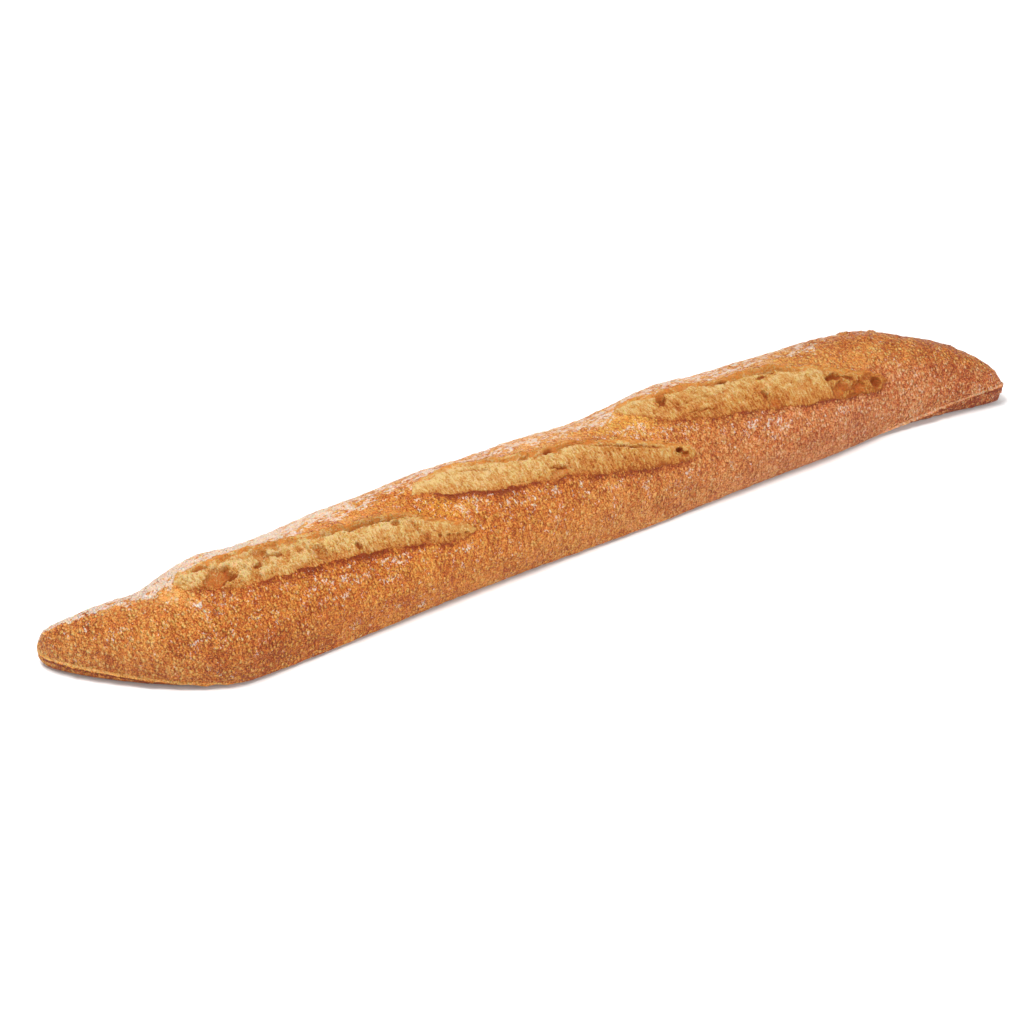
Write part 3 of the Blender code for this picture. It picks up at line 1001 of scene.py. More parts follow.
@dataclass(frozen=True)
class CrumbFinish:
    """Torn crumb: pale yellow crests and browned flanks, partly painted light and shade that follow the
    bumps, glazed hollows, and painted shade in hollows, tears and the groove.

    Counts are features a metre, and weights say how much each feature adds to the tone.
    """

    cream: Colour = (0.690, 0.480, 0.212, 1.0)
    pale: Colour = (0.590, 0.338, 0.104, 1.0)
    honey: Colour = (0.560, 0.254, 0.060, 1.0)
    toasted: Colour = (0.490, 0.170, 0.032, 1.0)
    brown: Colour = (0.350, 0.088, 0.014, 1.0)
    tones: tuple[float, ...] = (0.00, 0.27, 0.52, 0.78, 1.00)
    # Colour of the painted shade in pits, tears, caves and the groove.
    recess_shade: Colour = (0.320, 0.066, 0.010, 1.0)
    glazed: Colour = (0.560, 0.158, 0.030, 1.0)
    # Baked colour of the torn wall, brightened as painted bounce light in its shaded groove.
    wall_bake_and_bounce: Colour = (0.720, 0.270, 0.055, 1.0)
    fine_count: float = 1300.0
    across_counts: tuple[float, float, float] = (900.0, 260.0, 260.0)
    along_counts: tuple[float, float, float] = (260.0, 700.0, 900.0)
    patch_count: float = 190.0
    pore_count: float = 800.0
    # The strand, fine and pore weights also paint light and shade that follow the bump: raised parts paler,
    # pores darker.
    patch_weight: float = 0.18
    strand_weight: float = 0.30
    fine_weight: float = 0.26
    pore_weight: float = 0.35
    recess_shade_weight: float = 0.90
    bump_fine: float = 1.4
    bump_strands: float = 1.1
    bump_pores: float = -0.9
    bump_depth: float = 0.00085
    dry_roughness: float = 0.70
    glazed_roughness: float = 0.42
    shine: float = 0.20
    glow: float = 0.50
    glow_reach: float = 0.0009

    def material(self) -> bpy.types.Material:
        """Builds the crumb's material."""
        recipe = Recipe("crumb")
        wall, glaze, recess_shade = recipe.stored("wall"), recipe.stored("glaze"), recipe.stored("recess_shade")
        fine = recipe.noise(self.fine_count, 3.0, 0.70)
        across, along = (recipe.noise(1.0, 3.0, 0.6, recipe.stretched(counts), 0.6)
                         for counts in (self.across_counts, self.along_counts))
        strands = recipe.between(wall, across, along)
        patches = recipe.noise(self.patch_count, 3.0, 0.6)
        pores = recipe.cells(self.pore_count)
        chosen = recipe.channel(pores.outputs["Color"], 1)
        open_pores = recipe.times(recipe.span(pores.outputs["Distance"], 0.38, 0.12),
                                  recipe.span(chosen, 0.50, 0.75))
        # Tone: the stored browning with its painted shade, random patches, painted light and shade that
        # follow the bump (raised fibres and fine lumps paler, open pores darker), and painted recess shade.
        tone = recipe.total(
            (recipe.stored("toast_and_shade"), 1.0),
            (recipe.span(patches, 0.3, 0.7, -self.patch_weight, self.patch_weight), 1.0),
            (recipe.span(strands, 0.3, 0.7, self.strand_weight, -self.strand_weight), 1.0),
            (recipe.span(fine, 0.3, 0.7, self.fine_weight, -self.fine_weight), 1.0),
            (open_pores, self.pore_weight), (recess_shade, self.recess_shade_weight))
        colours = (self.cream, self.pale, self.honey, self.toasted, self.brown)
        body = recipe.ramp(tone, tuple(zip(self.tones, colours)))
        # The torn wall takes its baked colour, brightened as painted bounce light in the shaded groove.
        baked = recipe.times(wall, recipe.span(strands, 0.36, 0.64, 0.75, 0.05))
        body = recipe.blend(baked, body, self.wall_bake_and_bounce)
        shiny = recipe.times(glaze, recipe.span(fine, 0.36, 0.64, 0.95, 0.20))
        body = recipe.blend(shiny, body, self.glazed)
        # Painted shade in the pits, tears, caves and groove.
        body = recipe.blend(recipe.span(recess_shade, 0.30, 1.0), body, self.recess_shade)
        rough = recipe.span(glaze, 0.0, 1.0, self.dry_roughness, self.glazed_roughness)
        height = recipe.total((fine, self.bump_fine), (strands, self.bump_strands),
                              (open_pores, self.bump_pores))
        recipe.glow(self.glow, self.glow_reach)
        return recipe.finish(body, rough, self.shine, recipe.bump(height, self.bump_depth))


@dataclass
class Crust:
    """The crust: a sphere drawn out along X, shaped, roughened and cut open."""

    form: LoafForm
    base_steps: int = 8
    tuck_steps: int = 4
    lip_steps: int = 2
    flank_steps: int = 15
    dome_steps: int = 120
    rings: int = 522
    tip_rings: int = 8
    seed: int = 3
    rim_reach: float = 0.0030
    lip_lift: float = 0.0004
    lip_reach: float = 0.0012
    cut_depth: float = 0.0085
    cut_above: float = 0.0080
    cut_steps: tuple[int, int] = (380, 6)
    cut_margin: float = 0.0015
    tip_fade: float = 0.003
    swelling: Layer = Layer(0.00045, 0.030)
    bumps: Layer = Layer(0.00032, 0.0070, 3, 0.6)
    streaks: Layer = Layer(0.00018, 0.0034, 2, 0.6, (1.0, 0.30, 0.30), 2.0)
    wrinkles: Layer = Layer(0.00110, 0.0052, stretch=(0.33, 1.0, 1.0), shift=7.0, level=0.80)
    blister_height: float = 0.00045
    blister_size: float = 0.0036
    waver: Layer = Layer(1.0, 0.006)
    crease_waver: float = 0.0008
    knob_waver: float = 0.2
    tucked_angle: float = math.radians(104.0)
    seam_wave: Layer = Layer(0.0005, 0.007, 3, 0.6)
    seam_wave_level: float = 0.003
    jut: float = 0.0009
    jut_wave: Layer = Layer(0.0006, 0.005, 3, 0.6)
    tuck_hollow: float = 0.0004
    flour: Course = Course(((-275, 0.6), (-200, 0.80), (-100, 0.75), (20, 0.75), (140, 0.80), (180, 0.4),
                            (275, 0.2)))
    flour_patches: tuple[Patch, ...] = (
        Patch(48.0, 6.0, 16.0, 12.0, 0.30),
        Patch(-72.0, 34.0, 12.0, 10.0, 0.25),
    )
    gold_patches: tuple[Patch, ...] = (
        Patch(-74.0, 20.0, 16.0, 15.0),
        Patch(48.0, 2.0, 20.0, 15.0),
        Patch(155.0, -4.0, 20.0, 12.0, 0.5),
    )
    pale_patch: Patch = Patch(-213.5, 3.0, 6.5, 13.0, 1.6)
    # The creases also carry painted shade through their dark share.
    creases: tuple[Tear, ...] = (
        Tear((-197, 13), (-203, 44), 0.0009, 0.0008, 0.0007),
        Tear((-85, -3), (-81, 22), 0.0009, 0.0014, 0.0012),
        Tear((-93, -12), (-82, -4), 0.0010, 0.0014, 0.0012),
        Tear((188, -6), (206, -1), 0.0009, 0.0007, 0.0005),
        Tear((212, 4), (218, 12), 0.0009, 0.0007, 0.0006),
    )
    knobs: tuple[Pit, ...] = (
        Pit(218, -40, 0.0026, 0.0028, -0.0017),
        Pit(206, -8, 0.0030, 0.0030, -0.0009),
        Pit(200, -34, 0.0040, 0.0040, -0.0009),
        Pit(168, 26, 0.0022, 0.0020, -0.0006),
    )
    stations: list[tuple[Part, float, float]] = field(default_factory=list)

    def __post_init__(self) -> None:
        """Lists the places round a section, from the middle of the base over the front."""
        rising = [(Part.BASE, i / self.base_steps) for i in range(1, self.base_steps + 1)]
        rising += [(Part.TUCK, i / self.tuck_steps) for i in range(1, self.tuck_steps + 1)]
        rising += [(Part.LIP, i / self.lip_steps) for i in range(1, self.lip_steps + 1)]
        rising += [(Part.FLANK, i / self.flank_steps) for i in range(1, self.flank_steps + 1)]
        self.stations = [(Part.BASE, -1.0, 0.0)]
        self.stations += [(kind, -1.0, share) for kind, share in rising]
        for i in range(1, self.dome_steps):
            self.stations.append((Part.DOME, 0.0, 0.5 * math.pi * (1.0 - 2.0 * i / self.dome_steps)))
        self.stations += [(kind, 1.0, share) for kind, share in reversed(rising)]

    def ring_places(self) -> Array:
        """Places of the rings along X, with a few close together in each rounded tip."""
        turn = 0.5 * math.pi * np.arange(1, self.tip_rings + 1) / self.tip_rings
        tip = self.form.tip_rounding * (1.0 - np.cos(turn))
        half = self.form.length / 2.0
        body = np.linspace(-half + tip[-1], half - tip[-1], self.rings - 1 - 2 * (self.tip_rings - 1))
        return np.concatenate([-half + tip[:-1], body, half - tip[:-1][::-1]])

    def surface(self, places: Array) -> Array:
        """Smooth surface of the loaf, shape (rings, stations, 3)."""
        columns = []
        for kind, side, share in self.stations:
            if kind is Part.DOME:
                columns.append(self.form.dome(places, np.full_like(places, share)))
            else:
                columns.append(self.form.lower(places, side, kind, share))
        return np.stack(columns, axis=1)

    def swell(self, points: Array) -> Array:
        """Broad unevenness that crust and crumb share."""
        return self.swelling.soft(Grain(self.seed), points)

    def skin(self, points: Array) -> Array:
        """Bumps, streaks and blisters of the baked surface."""
        grain = Grain(self.seed + 1)
        bumps = self.bumps.soft(grain, points) + self.streaks.soft(grain, points)
        nearest, value = grain.cells(points + 3.0, self.blister_size)
        blisters = self.blister_height * value * np.clip(1.1 - nearest * 1.7, 0.0, 1.0)
        back = ease((points[:, 1] - self.form.centre_y(points[:, 0])) / 0.012 + 0.5)
        return self.swell(points) + bumps + blisters + back * self.wrinkles.sharp(grain, points)

    def relief(self, points: Array, angle: Array) -> Array:
        """How far the baked surface stands out of the smooth one."""
        grain = Grain(self.seed + 1)
        x = points[:, 0]
        height = self.skin(points)
        for slash in SLASHES:
            gap = np.maximum(-slash.edge_distance(x, angle), 0.0)
            back_rim = slash.rim.at(x) * MM * np.exp(-gap / self.rim_reach)
            front_lip = self.lip_lift * np.exp(-gap / self.lip_reach)
            height += mix(back_rim, front_lip, slash.frontward(x, angle))
        flat = CROWN.flat(x, angle)
        wave = self.waver.soft(grain, flat)
        height += CROWN.tears(flat, self.creases, self.crease_waver * wave)[0]
        height += CROWN.pits(flat, self.knobs, self.knob_waver * wave)[0]
        return np.where(np.abs(angle) > self.tucked_angle, 0.5 * height, height)

    def build(self) -> bpy.types.Object:
        """Models the crust and cuts the openings.

        Returns:
            The finished mesh, with its stored numbers, its layout and its materials.
        """
        Shaper.deselect()
        bpy.ops.mesh.primitive_uv_sphere_add(segments=len(self.stations), ring_count=self.rings, radius=1.0,
                                             rotation=(0.0, math.radians(90.0), 0.0))
        bpy.ops.object.transform_apply(location=True, rotation=True, scale=True)
        piece = Shaper.added("crust")
        unit = Shaper.read(piece)
        ring = np.rint((0.5 + np.arcsin(np.clip(unit[:, 0], -1.0, 1.0)) / math.pi) * self.rings).astype(int)
        turn = np.arctan2(unit[:, 1], unit[:, 2]) / (2.0 * math.pi) * len(self.stations)
        station = np.rint(turn).astype(int) % len(self.stations)

        places = self.ring_places()
        raised = self.raised(places)
        inner = (ring > 0) & (ring < self.rings)
        points = np.empty_like(unit)
        points[inner] = raised[ring[inner] - 1, station[inner]]
        half = self.form.length / 2.0
        for end, low in ((0, True), (-1, False)):
            pole = ~inner & ((unit[:, 0] < 0.0) == low)
            points[pole] = raised[end].mean(axis=0)
            points[pole, 0] = -half if low else half
        Shaper.write(piece, points)
        Shaper.recalculate(piece)
        piece.data.materials.append(CrustFinish().material())
        piece.data.materials.append(TornEdgeFinish().material())
        self.cut(piece)
        self.dress(piece)
        return piece

    def raised(self, places: Array) -> Array:
        """Surface of the loaf with its relief, shape (rings, stations, 3)."""
        surface = self.surface(places)
        along = np.gradient(surface, axis=0)
        closed = np.concatenate([surface[:, -1:], surface, surface[:, :1]], axis=1)
        normal = np.cross(closed[:, 2:] - closed[:, :-2], along)
        normal /= np.maximum(np.linalg.norm(normal, axis=2, keepdims=True), 1e-12)
        outward = surface - surface.mean(axis=1, keepdims=True)
        if np.mean(np.sum(normal * outward, axis=2)) < 0.0:
            normal = -normal
        flat = surface.reshape(-1, 3)
        height = self.relief(flat, self.form.crown_angle(flat)).reshape(surface.shape[:2])
        height *= (self.form.closing(places) * ease(self.form.tip_distance(places) / self.tip_fade))[:, None]
        raised = surface + normal * height[:, :, None]

        kinds = [kind for kind, _, _ in self.stations]
        base = np.array([kind is Part.BASE for kind in kinds])
        tuck = np.array([kind is Part.TUCK for kind in kinds])
        raised[:, base] = surface[:, base]
        line = np.stack([places, np.zeros_like(places), np.zeros_like(places)], axis=1)
        wave = self.seam_wave.soft(Grain(self.seed + 7), line)
        wave *= self.form.seam_level(places) / self.seam_wave_level
        share_of_wave = {Part.LIP: 1.0, Part.TUCK: 0.6}
        seam = np.array([share_of_wave.get(kind, 0.0) for kind in kinds])
        raised[:, :, 2] += wave[:, None] * seam[None, :]
        ends = ease((self.form.seam_level(places) - 0.0016) / 0.0025) * self.form.closing(places)
        jut = (self.jut + self.jut_wave.soft(Grain(self.seed + 8), line)) * ends
        lip = np.array([1.0 if kind is Part.LIP else 0.0 for kind in kinds])
        raised += normal * jut[:, None, None] * lip[None, :, None]
        shares = np.array([share for _, _, share in self.stations])
        hollow = np.where(tuck, np.sin(math.pi * shares), 0.0) * self.tuck_hollow
        raised -= normal * hollow[None, :, None] * self.form.closing(places)[:, None, None]
        raised[:, :, 2] = np.maximum(raised[:, :, 2], 0.0)
        return raised

    def cutter(self, slash: Slash) -> bpy.types.Object:
        """Closed block over one opening, from above the crust down into the loaf."""
        Shaper.deselect()
        bpy.ops.mesh.primitive_grid_add(x_subdivisions=self.cut_steps[0],
                                        y_subdivisions=self.cut_steps[1], size=1.0)
        block = Shaper.added("opening_" + slash.name)
        bpy.ops.object.mode_set(mode="EDIT")
        bpy.ops.mesh.select_all(action="SELECT")
        bpy.ops.mesh.extrude_region_move(TRANSFORM_OT_translate={"value": (0.0, 0.0, 1.0)})
        bpy.ops.object.mode_set(mode="OBJECT")
        unit = Shaper.read(block)
        gathered = 0.5 * (1.0 - np.cos(math.pi * (unit[:, 0] + 0.5)))
        along = mix(self.cut_margin, 1.0 - self.cut_margin, gathered)
        x = mix(slash.start, slash.end, along)
        low, high = slash.opening(x)
        angle = mix(low, high, unit[:, 1] + 0.5)
        offset = np.where(unit[:, 2] > 0.5, self.cut_above, -self.cut_depth)
        Shaper.write(block, self.form.dome(x, angle, offset))
        Shaper.recalculate(block)
        return block

    def cut(self, piece: bpy.types.Object) -> None:
        """Cuts the three openings."""
        for slash in SLASHES:
            block = self.cutter(slash)
            block.data.materials.append(piece.data.materials[0])
            block.data.materials.append(piece.data.materials[1])
            block.data.polygons.foreach_set("material_index", [1] * len(block.data.polygons))
            Shaper.activate(piece)
            modifier = piece.modifiers.new("open", "BOOLEAN")
            modifier.operation = "DIFFERENCE"
            modifier.solver = "EXACT"
            modifier.object = block
            bpy.ops.object.modifier_apply(modifier=modifier.name)
            bpy.data.objects.remove(block, do_unlink=True)

    def dress(self, piece: bpy.types.Object) -> None:
        """Stores browning with painted shade, flour and the rest on the mesh, lays out its skin and smooths
        it.
        """
        points = Shaper.read(piece)
        x = points[:, 0]
        angle = self.form.crown_angle(points)
        degrees = np.degrees(angle)
        grain = Grain(self.seed + 20)
        gold = sum(patch.at(x, degrees) for patch in self.gold_patches)
        toast_and_shade, flour, band = self.seam_tones(points, grain)
        for add in (self.crown_tones, self.edge_tones):
            more_toast_and_shade, more_flour = add(points, angle, grain)
            toast_and_shade, flour = toast_and_shade + more_toast_and_shade, flour + more_flour
        toast_and_shade = toast_and_shade - 0.35 * gold - self.pale_patch.at(x, degrees)
        grainy = 0.7 * rise(x, -0.13, -0.21) + 0.4 * rise(x, 0.10, 0.20) - 0.25 * bell(x, -0.02, 0.08)
        grainy += 0.2 * grain.layered(points + 9.0, 0.03, 2) - 0.7 * band
        stored = {
            "toast_and_shade": np.clip(toast_and_shade, -2.2, 2.6),
            "flour": np.clip(flour, 0.0, 1.2),
            "ridge": rise(degrees, 8.0, -16.0),
            "ruddy": 0.75 * rise(x, -0.02, 0.18) * rise(degrees, 20.0, 50.0),
            "warm": bell(x, -0.11, 0.09) * rise(degrees, -40.0, -10.0),
            "gold": np.clip(gold, 0.0, 1.0),
            "grainy": np.clip(grainy, -0.3, 1.0),
            "underside": np.where(points[:, 2] < 0.0004, 0.7, 0.0),
        }
        for name, values in stored.items():
            Shaper.attribute(piece, name, values)
        self.lay_out(piece, points)
        Shaper.activate(piece)
        bpy.ops.object.shade_smooth_by_angle(angle=math.radians(50.0))
        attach(piece, "root")
        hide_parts("loaf")

    def crown_tones(self, points: Array, angle: Array, grain: Grain) -> tuple[Array, Array]:
        """Broad browning and flour, with painted shade in the creases.

        Args:
            points: Places on the crust.
            angle: Their angles on the crown.
            grain: The noise of the tones.

        Returns:
            Browning with painted shade in the creases, and flour.
        """
        x, degrees = points[:, 0], np.degrees(angle)
        toast_and_shade = 0.35 * grain.layered(points, 0.045, 3)
        # Darker low on the front near the left end.
        toast_and_shade += 0.7 * bell(x, -0.180, 0.040) * rise(degrees, 45.0, 85.0)
        toast_and_shade += 0.5 * rise(x, 0.20, 0.25) + 0.5 * rise(x, 0.17, 0.22) * rise(degrees, 10.0, -20.0)
        # Painted shade in the creases.
        toast_and_shade += 1.5 * CROWN.tears(CROWN.flat(x, angle), self.creases, np.zeros(len(x)))[1]
        toast_and_shade -= 0.5 * rise(degrees, 14.0, -6.0) * rise(x, 0.18, 0.13) * rise(x, -0.23, -0.18)
        front = mix(1.0, 0.34, rise(degrees, -22.0, 4.0)) * mix(1.0, 0.40, rise(degrees, 50.0, 85.0))
        flour = self.flour.at(x) * front * mix(1.0, 0.35, rise(degrees, -48.0, -78.0))
        flour += 0.25 * grain.layered(points + 5.0, 0.018, 3)
        flour += 0.40 * rise(degrees, 4.0, -12.0) * rise(degrees, -60.0, -40.0) * rise(x, -0.09, -0.15)
        return toast_and_shade, flour + sum(patch.at(x, degrees) for patch in self.flour_patches)

    def edge_tones(self, points: Array, angle: Array, grain: Grain) -> tuple[Array, Array]:
        """Toast and flour that the edges of the openings add.

        Args:
            points: Places on the crust.
            angle: Their angles on the crown.
            grain: The noise of the tones.

        Returns:
            Toast and flour.
        """
        x = points[:, 0]
        toast_and_shade, flour = np.zeros(len(x)), np.zeros(len(x))
        torn = ease(0.5 + 1.3 * grain.layered(points + 13.0, 0.010, 4, 0.6))
        for slash in SLASHES:
            gap = np.maximum(-slash.edge_distance(x, angle), 0.0)
            front = slash.frontward(x, angle)
            scorch = slash.scorch.at(x)
            broken = torn * scorch
            toast_and_shade += (2.4 * broken * np.exp(-gap / 0.0011) + 0.80 * broken * np.exp(-gap / 0.0040)) * front
            toast_and_shade += 0.80 * scorch * bell(gap, 0.0, 0.0032) * front
            toast_and_shade += (1.7 * broken - 0.5) * np.exp(-gap / 0.0012) * (1.0 - front)
            flour += (0.16 * bell(gap, 0.007, 0.005) - 0.6 * np.exp(-gap / 0.0020)) * front
        return toast_and_shade, flour

    def seam_tones(self, points: Array, grain: Grain) -> tuple[Array, Array, Array]:
        """Browning and flour along the seam and at the tips, with a painted shade band under the seam's lip
        and darker towards the base.

        Args:
            points: Places on the crust.
            grain: The noise of the tones.

        Returns:
            Browning with the painted shade, and flour, and how far each place lies in the smooth band over
            the left seam.
        """
        x = points[:, 0]
        level = points[:, 2] - self.form.base_level(x)
        seam = self.form.seam_level(x)
        ends = rise(seam, 0.0016, 0.0028)
        # Painted shade: shade is a dark band under the seam's jutting lip, edge a pale line on the lip. Below
        # 0.6 of the seam's height the crust is darker towards the base.
        shade, edge = bell(level - seam, -0.0019, 0.0014), bell(level - seam, 0.0004, 0.0008)
        toast_and_shade = ends * (2.2 * shade - 3.2 * edge) + 0.9 * (1.0 - ease((level - 0.6 * seam) / 0.0006))
        pale_edge = bell(level, 0.35 * seam, 0.0006) * ends
        toast_and_shade -= 2.0 * pale_edge * ease(0.5 + 1.5 * grain.layered(points + 21.0, 0.010, 2))
        tip = ease((np.abs(x) - self.form.length / 2.0 + 0.0022) / 0.0016)
        toast_and_shade -= 1.8 * tip * rise(level, 0.008, 0.005)
        band = ends * ease((0.0060 + seam - level) / 0.0025) * (x < 0.0)
        return toast_and_shade, -0.4 * band, band

    def lay_out(self, piece: bpy.types.Object, points: Array) -> None:
        """Lays the skin out flat in two strips, one for each half of the loaf."""
        x = points[:, 0]
        across = (self.form.centre_y(x) - points[:, 1]) / np.maximum(self.form.half_width(x), 1e-4)
        high = np.maximum(self.form.closed_height(x), 1e-4)
        up = (points[:, 2] - self.form.base_level(x)) / (0.5 * high) - 1.0
        around = 0.5 + np.arctan2(across, up) / (2.0 * math.pi)
        mesh = piece.data
        layer = mesh.uv_layers.new(name="OFBake")
        corner = np.empty(len(mesh.loops), dtype=np.int32)
        totals = np.empty(len(mesh.polygons), dtype=np.int32)
        mesh.loops.foreach_get("vertex_index", corner)
        mesh.polygons.foreach_get("loop_total", totals)
        face = np.repeat(np.arange(len(totals)), totals)
        right = (np.bincount(face, x[corner]) > 0.0)[face]
        side = (np.bincount(face, across[corner]) > 0.0)[face]
        v = around[corner]
        v = np.where(side & (v < 0.1), 1.0, np.where(~side & (v > 0.9), 0.0, v))
        margin = 0.01
        u = x[corner] / (self.form.length / 2.0) + np.where(right, 0.0, 1.0)
        u = margin + (1.0 - 2.0 * margin) * np.clip(u, 0.0, 1.0)
        v = np.where(right, 0.5, 0.0) + 0.5 * (margin + (1.0 - 2.0 * margin) * v)
        layer.data.foreach_set("uv", np.stack([u, v], axis=1).ravel().astype(np.float32))


@dataclass
class Crumb:
    """The crumb that rose and tore in one opening.

    The courses give, along the loaf: how far down the gap behind it reaches and how high its crest stands
    (millimetres), and how rough, cavernous and toasted it is.
    """

    form: LoafForm
    crust: Crust
    slash: Slash
    gap: Course
    crest: Course
    rough: Course
    caves: Course
    toast_and_shade: Course
    foot: Course
    pits: tuple[Pit, ...] = ()
    tears: tuple[Tear, ...] = ()
    wall: float = 0.0032
    rise: float = 0.0022
    step: float = 0.00027
    margin: float = 0.0026
    root: float = 0.0110
    rows: int = 124
    deepest: float = -0.0076
    sunk_edge: float = -0.0024
    torn_height: float = 0.0022
    ragged: Layer = Layer(0.0007, 0.009, 4, 0.6)
    breaks: Layer = Layer(1.1, 0.016, 2, stretch=(1.0, 0.2, 1.0), shift=9.0)
    ledge: Layer = Layer(0.0004, 0.006, 2, shift=5.0)
    warps: tuple[Layer, Layer] = (Layer(1.0, 0.007, shift=3.0), Layer(1.0, 0.007, shift=7.0))
    fibres: Layer = Layer(1.0, 0.0022, stretch=(1.0, 0.20, 1.0), level=0.78)
    folds: Layer = Layer(1.0, 0.0062, stretch=(1.0, 0.50, 1.0), level=0.80)
    lumps: Layer = Layer(1.0, 0.0080, 3, 0.55, shift=1.0)
    grit: Layer = Layer(1.0, 0.0013, 2, stretch=(1.0, 0.55, 1.0), shift=4.0, level=0.72)
    torn: Layer = Layer(1.0, 0.0034, stretch=(0.30, 1.2, 1.0), shift=11.0, level=0.75)
    waver: Layer = Layer(1.0, 0.0042, 3, 0.6)
    cave_size: float = 0.0080
    pore_size: float = 0.0017

    def profile(self, x: Array, back_gap: Array, width: Array, flat: Array) -> tuple[Array, Array]:
        """Main form of the mound: torn wall, groove, then the bulge.

        Args:
            x: Places along the loaf.
            back_gap: Distance to the front of the back edge.
            width: Width of the opening there.
            flat: Flat places, for the unevenness.

        Returns:
            Offsets from the crust's surface, and how far each place has climbed out of the groove.
        """
        grain = Grain(self.slash.seed + 40)
        ragged = self.ragged.soft(grain, flat)
        room = np.clip(width / 0.012, 0.15, 1.0)
        broken = np.clip(0.85 + self.breaks.soft(grain, flat), 0.25, 1.3)
        depth = self.gap.at(x) * MM * room * broken
        foot = self.foot.at(x) * MM
        wall = ease((back_gap + ragged) / (self.wall * room))
        climb = ease((back_gap + 1.5 * ragged - foot * room) / (self.rise * room))
        share = np.clip(back_gap / np.maximum(width, 1e-4), 0.0, 1.0)
        bulge = self.ledge.soft(grain, flat)
        bulge += self.crest.at(x) * MM * room * (1.0 - ((share - 0.38) / 0.62) ** 2)
        top = -0.0001 + self.slash.rim.at(x) * MM
        low = top - (depth + top) * wall
        return mix(low, bulge, climb), climb

    def fine_forms(self, x: Array, flat: Array) -> tuple[Array, Array]:
        """Fibres, folds and caves.

        Args:
            x: Places along the loaf.
            flat: Flat places on the crown.

        Returns:
            Heights to add, and how hollow each place is, 0 to 1.
        """
        grain = Grain(self.slash.seed + 60)
        rough, caves = self.rough.at(x), self.caves.at(x)
        along, across = (layer.soft(grain, flat) for layer in self.warps)
        warp = np.stack([along, across, np.zeros(len(flat))], axis=1)
        bent = flat + 0.0016 * warp
        fibres = self.fibres.sharp(grain, bent)
        folds = self.folds.sharp(grain, flat + 0.0028 * warp)
        lumps = self.lumps.soft(grain, bent)
        nearest, value = grain.cells(flat + 0.0030 * warp + 2.0, self.cave_size)
        hollow = caves * ease(1.2 - nearest * 1.5) * rise(value, 0.30, 0.55)
        grit = self.grit.sharp(grain, bent)
        pore, chosen = grain.cells(bent + 6.0, self.pore_size)
        pores = np.clip(1.0 - pore * 2.2, 0.0, 1.0) * rise(chosen, 0.45, 0.65)
        height = rough * (0.0015 * fibres + 0.0010 * folds + 0.00045 * lumps + 0.0006 * grit - 0.0009 * pores)
        height += caves * (0.0024 * folds + 0.0005 * lumps + 0.0008 * grit) - 0.0018 * hollow
        return height, hollow

    def build(self) -> bpy.types.Object:
        """Models one mound of crumb.

        Returns:
            The finished mesh, closed below, with its stored numbers and material.
        """
        slash = self.slash
        start, end = slash.start - self.margin, slash.end + self.margin
        Shaper.deselect()
        bpy.ops.mesh.primitive_grid_add(x_subdivisions=int((end - start) / self.step),
                                        y_subdivisions=self.rows, size=1.0)
        piece = Shaper.added("crumb_" + slash.name)
        unit = Shaper.read(piece)
        x = mix(start, end, unit[:, 0] + 0.5)
        reach = self.margin / CROWN.radius
        low = np.radians(slash.back.eased(x, 0.003)) - reach
        high = np.radians(slash.front.eased(x, 0.003)) + reach
        angle = mix(low, high, unit[:, 1] + 0.5)
        edge = slash.edge_distance(x, angle)
        back, front = slash.opening(x)
        flat = CROWN.flat(x, angle)
        back_gap = (angle - back) * CROWN.radius
        width = (front - back) * CROWN.radius

        offset, climb = self.profile(x, back_gap, width, flat)
        wave = self.waver.soft(Grain(slash.seed + 80), flat)
        fine, hollow = self.fine_forms(x, flat)
        pits, dark, glaze = CROWN.pits(flat, self.pits, 0.38 * wave)
        tears, tear_shade = CROWN.tears(flat, self.tears, 0.0006 * wave)
        inside = ease(edge / 0.0016)
        torn = self.torn.sharp(Grain(slash.seed + 90), flat)
        fine_here = fine * mix(0.2, 1.0, climb) + self.torn_height * torn * (1.0 - climb)
        offset = offset + inside * (fine_here + pits + tears)
        offset = mix(offset, self.sunk_edge, ease(-edge / 0.0008))
        smooth = self.form.dome(x, angle)
        border = 1.0 - ease(edge / 0.0025)
        skin = mix(self.crust.swell(smooth), self.crust.skin(smooth), border)
        offset = np.maximum(offset + skin, self.deepest)
        Shaper.write(piece, self.form.dome(x, angle, offset))

        share = np.clip(back_gap / np.maximum(width, 1e-4), 0.0, 1.0)
        # Browning, with painted light and shade: crests of the fine forms paler, their hollows and caves
        # darker. It is also darker along the front edge under the crust's lip.
        toast_and_shade = self.toast_and_shade.at(x) + 0.28 * rise(share, 0.45, 1.0) - 0.14 * rise(share, 0.5, 0.2) * climb
        toast_and_shade += (0.14 - 0.60 * torn) * (1.0 - climb) + 0.10 * hollow + 0.10 * glaze
        toast_and_shade -= 300.0 * np.clip(fine, -0.0010, 0.0011)
        toast_and_shade += 0.5 * np.exp(-np.maximum(edge, 0.0) / 0.0007) * slash.frontward(x, angle)
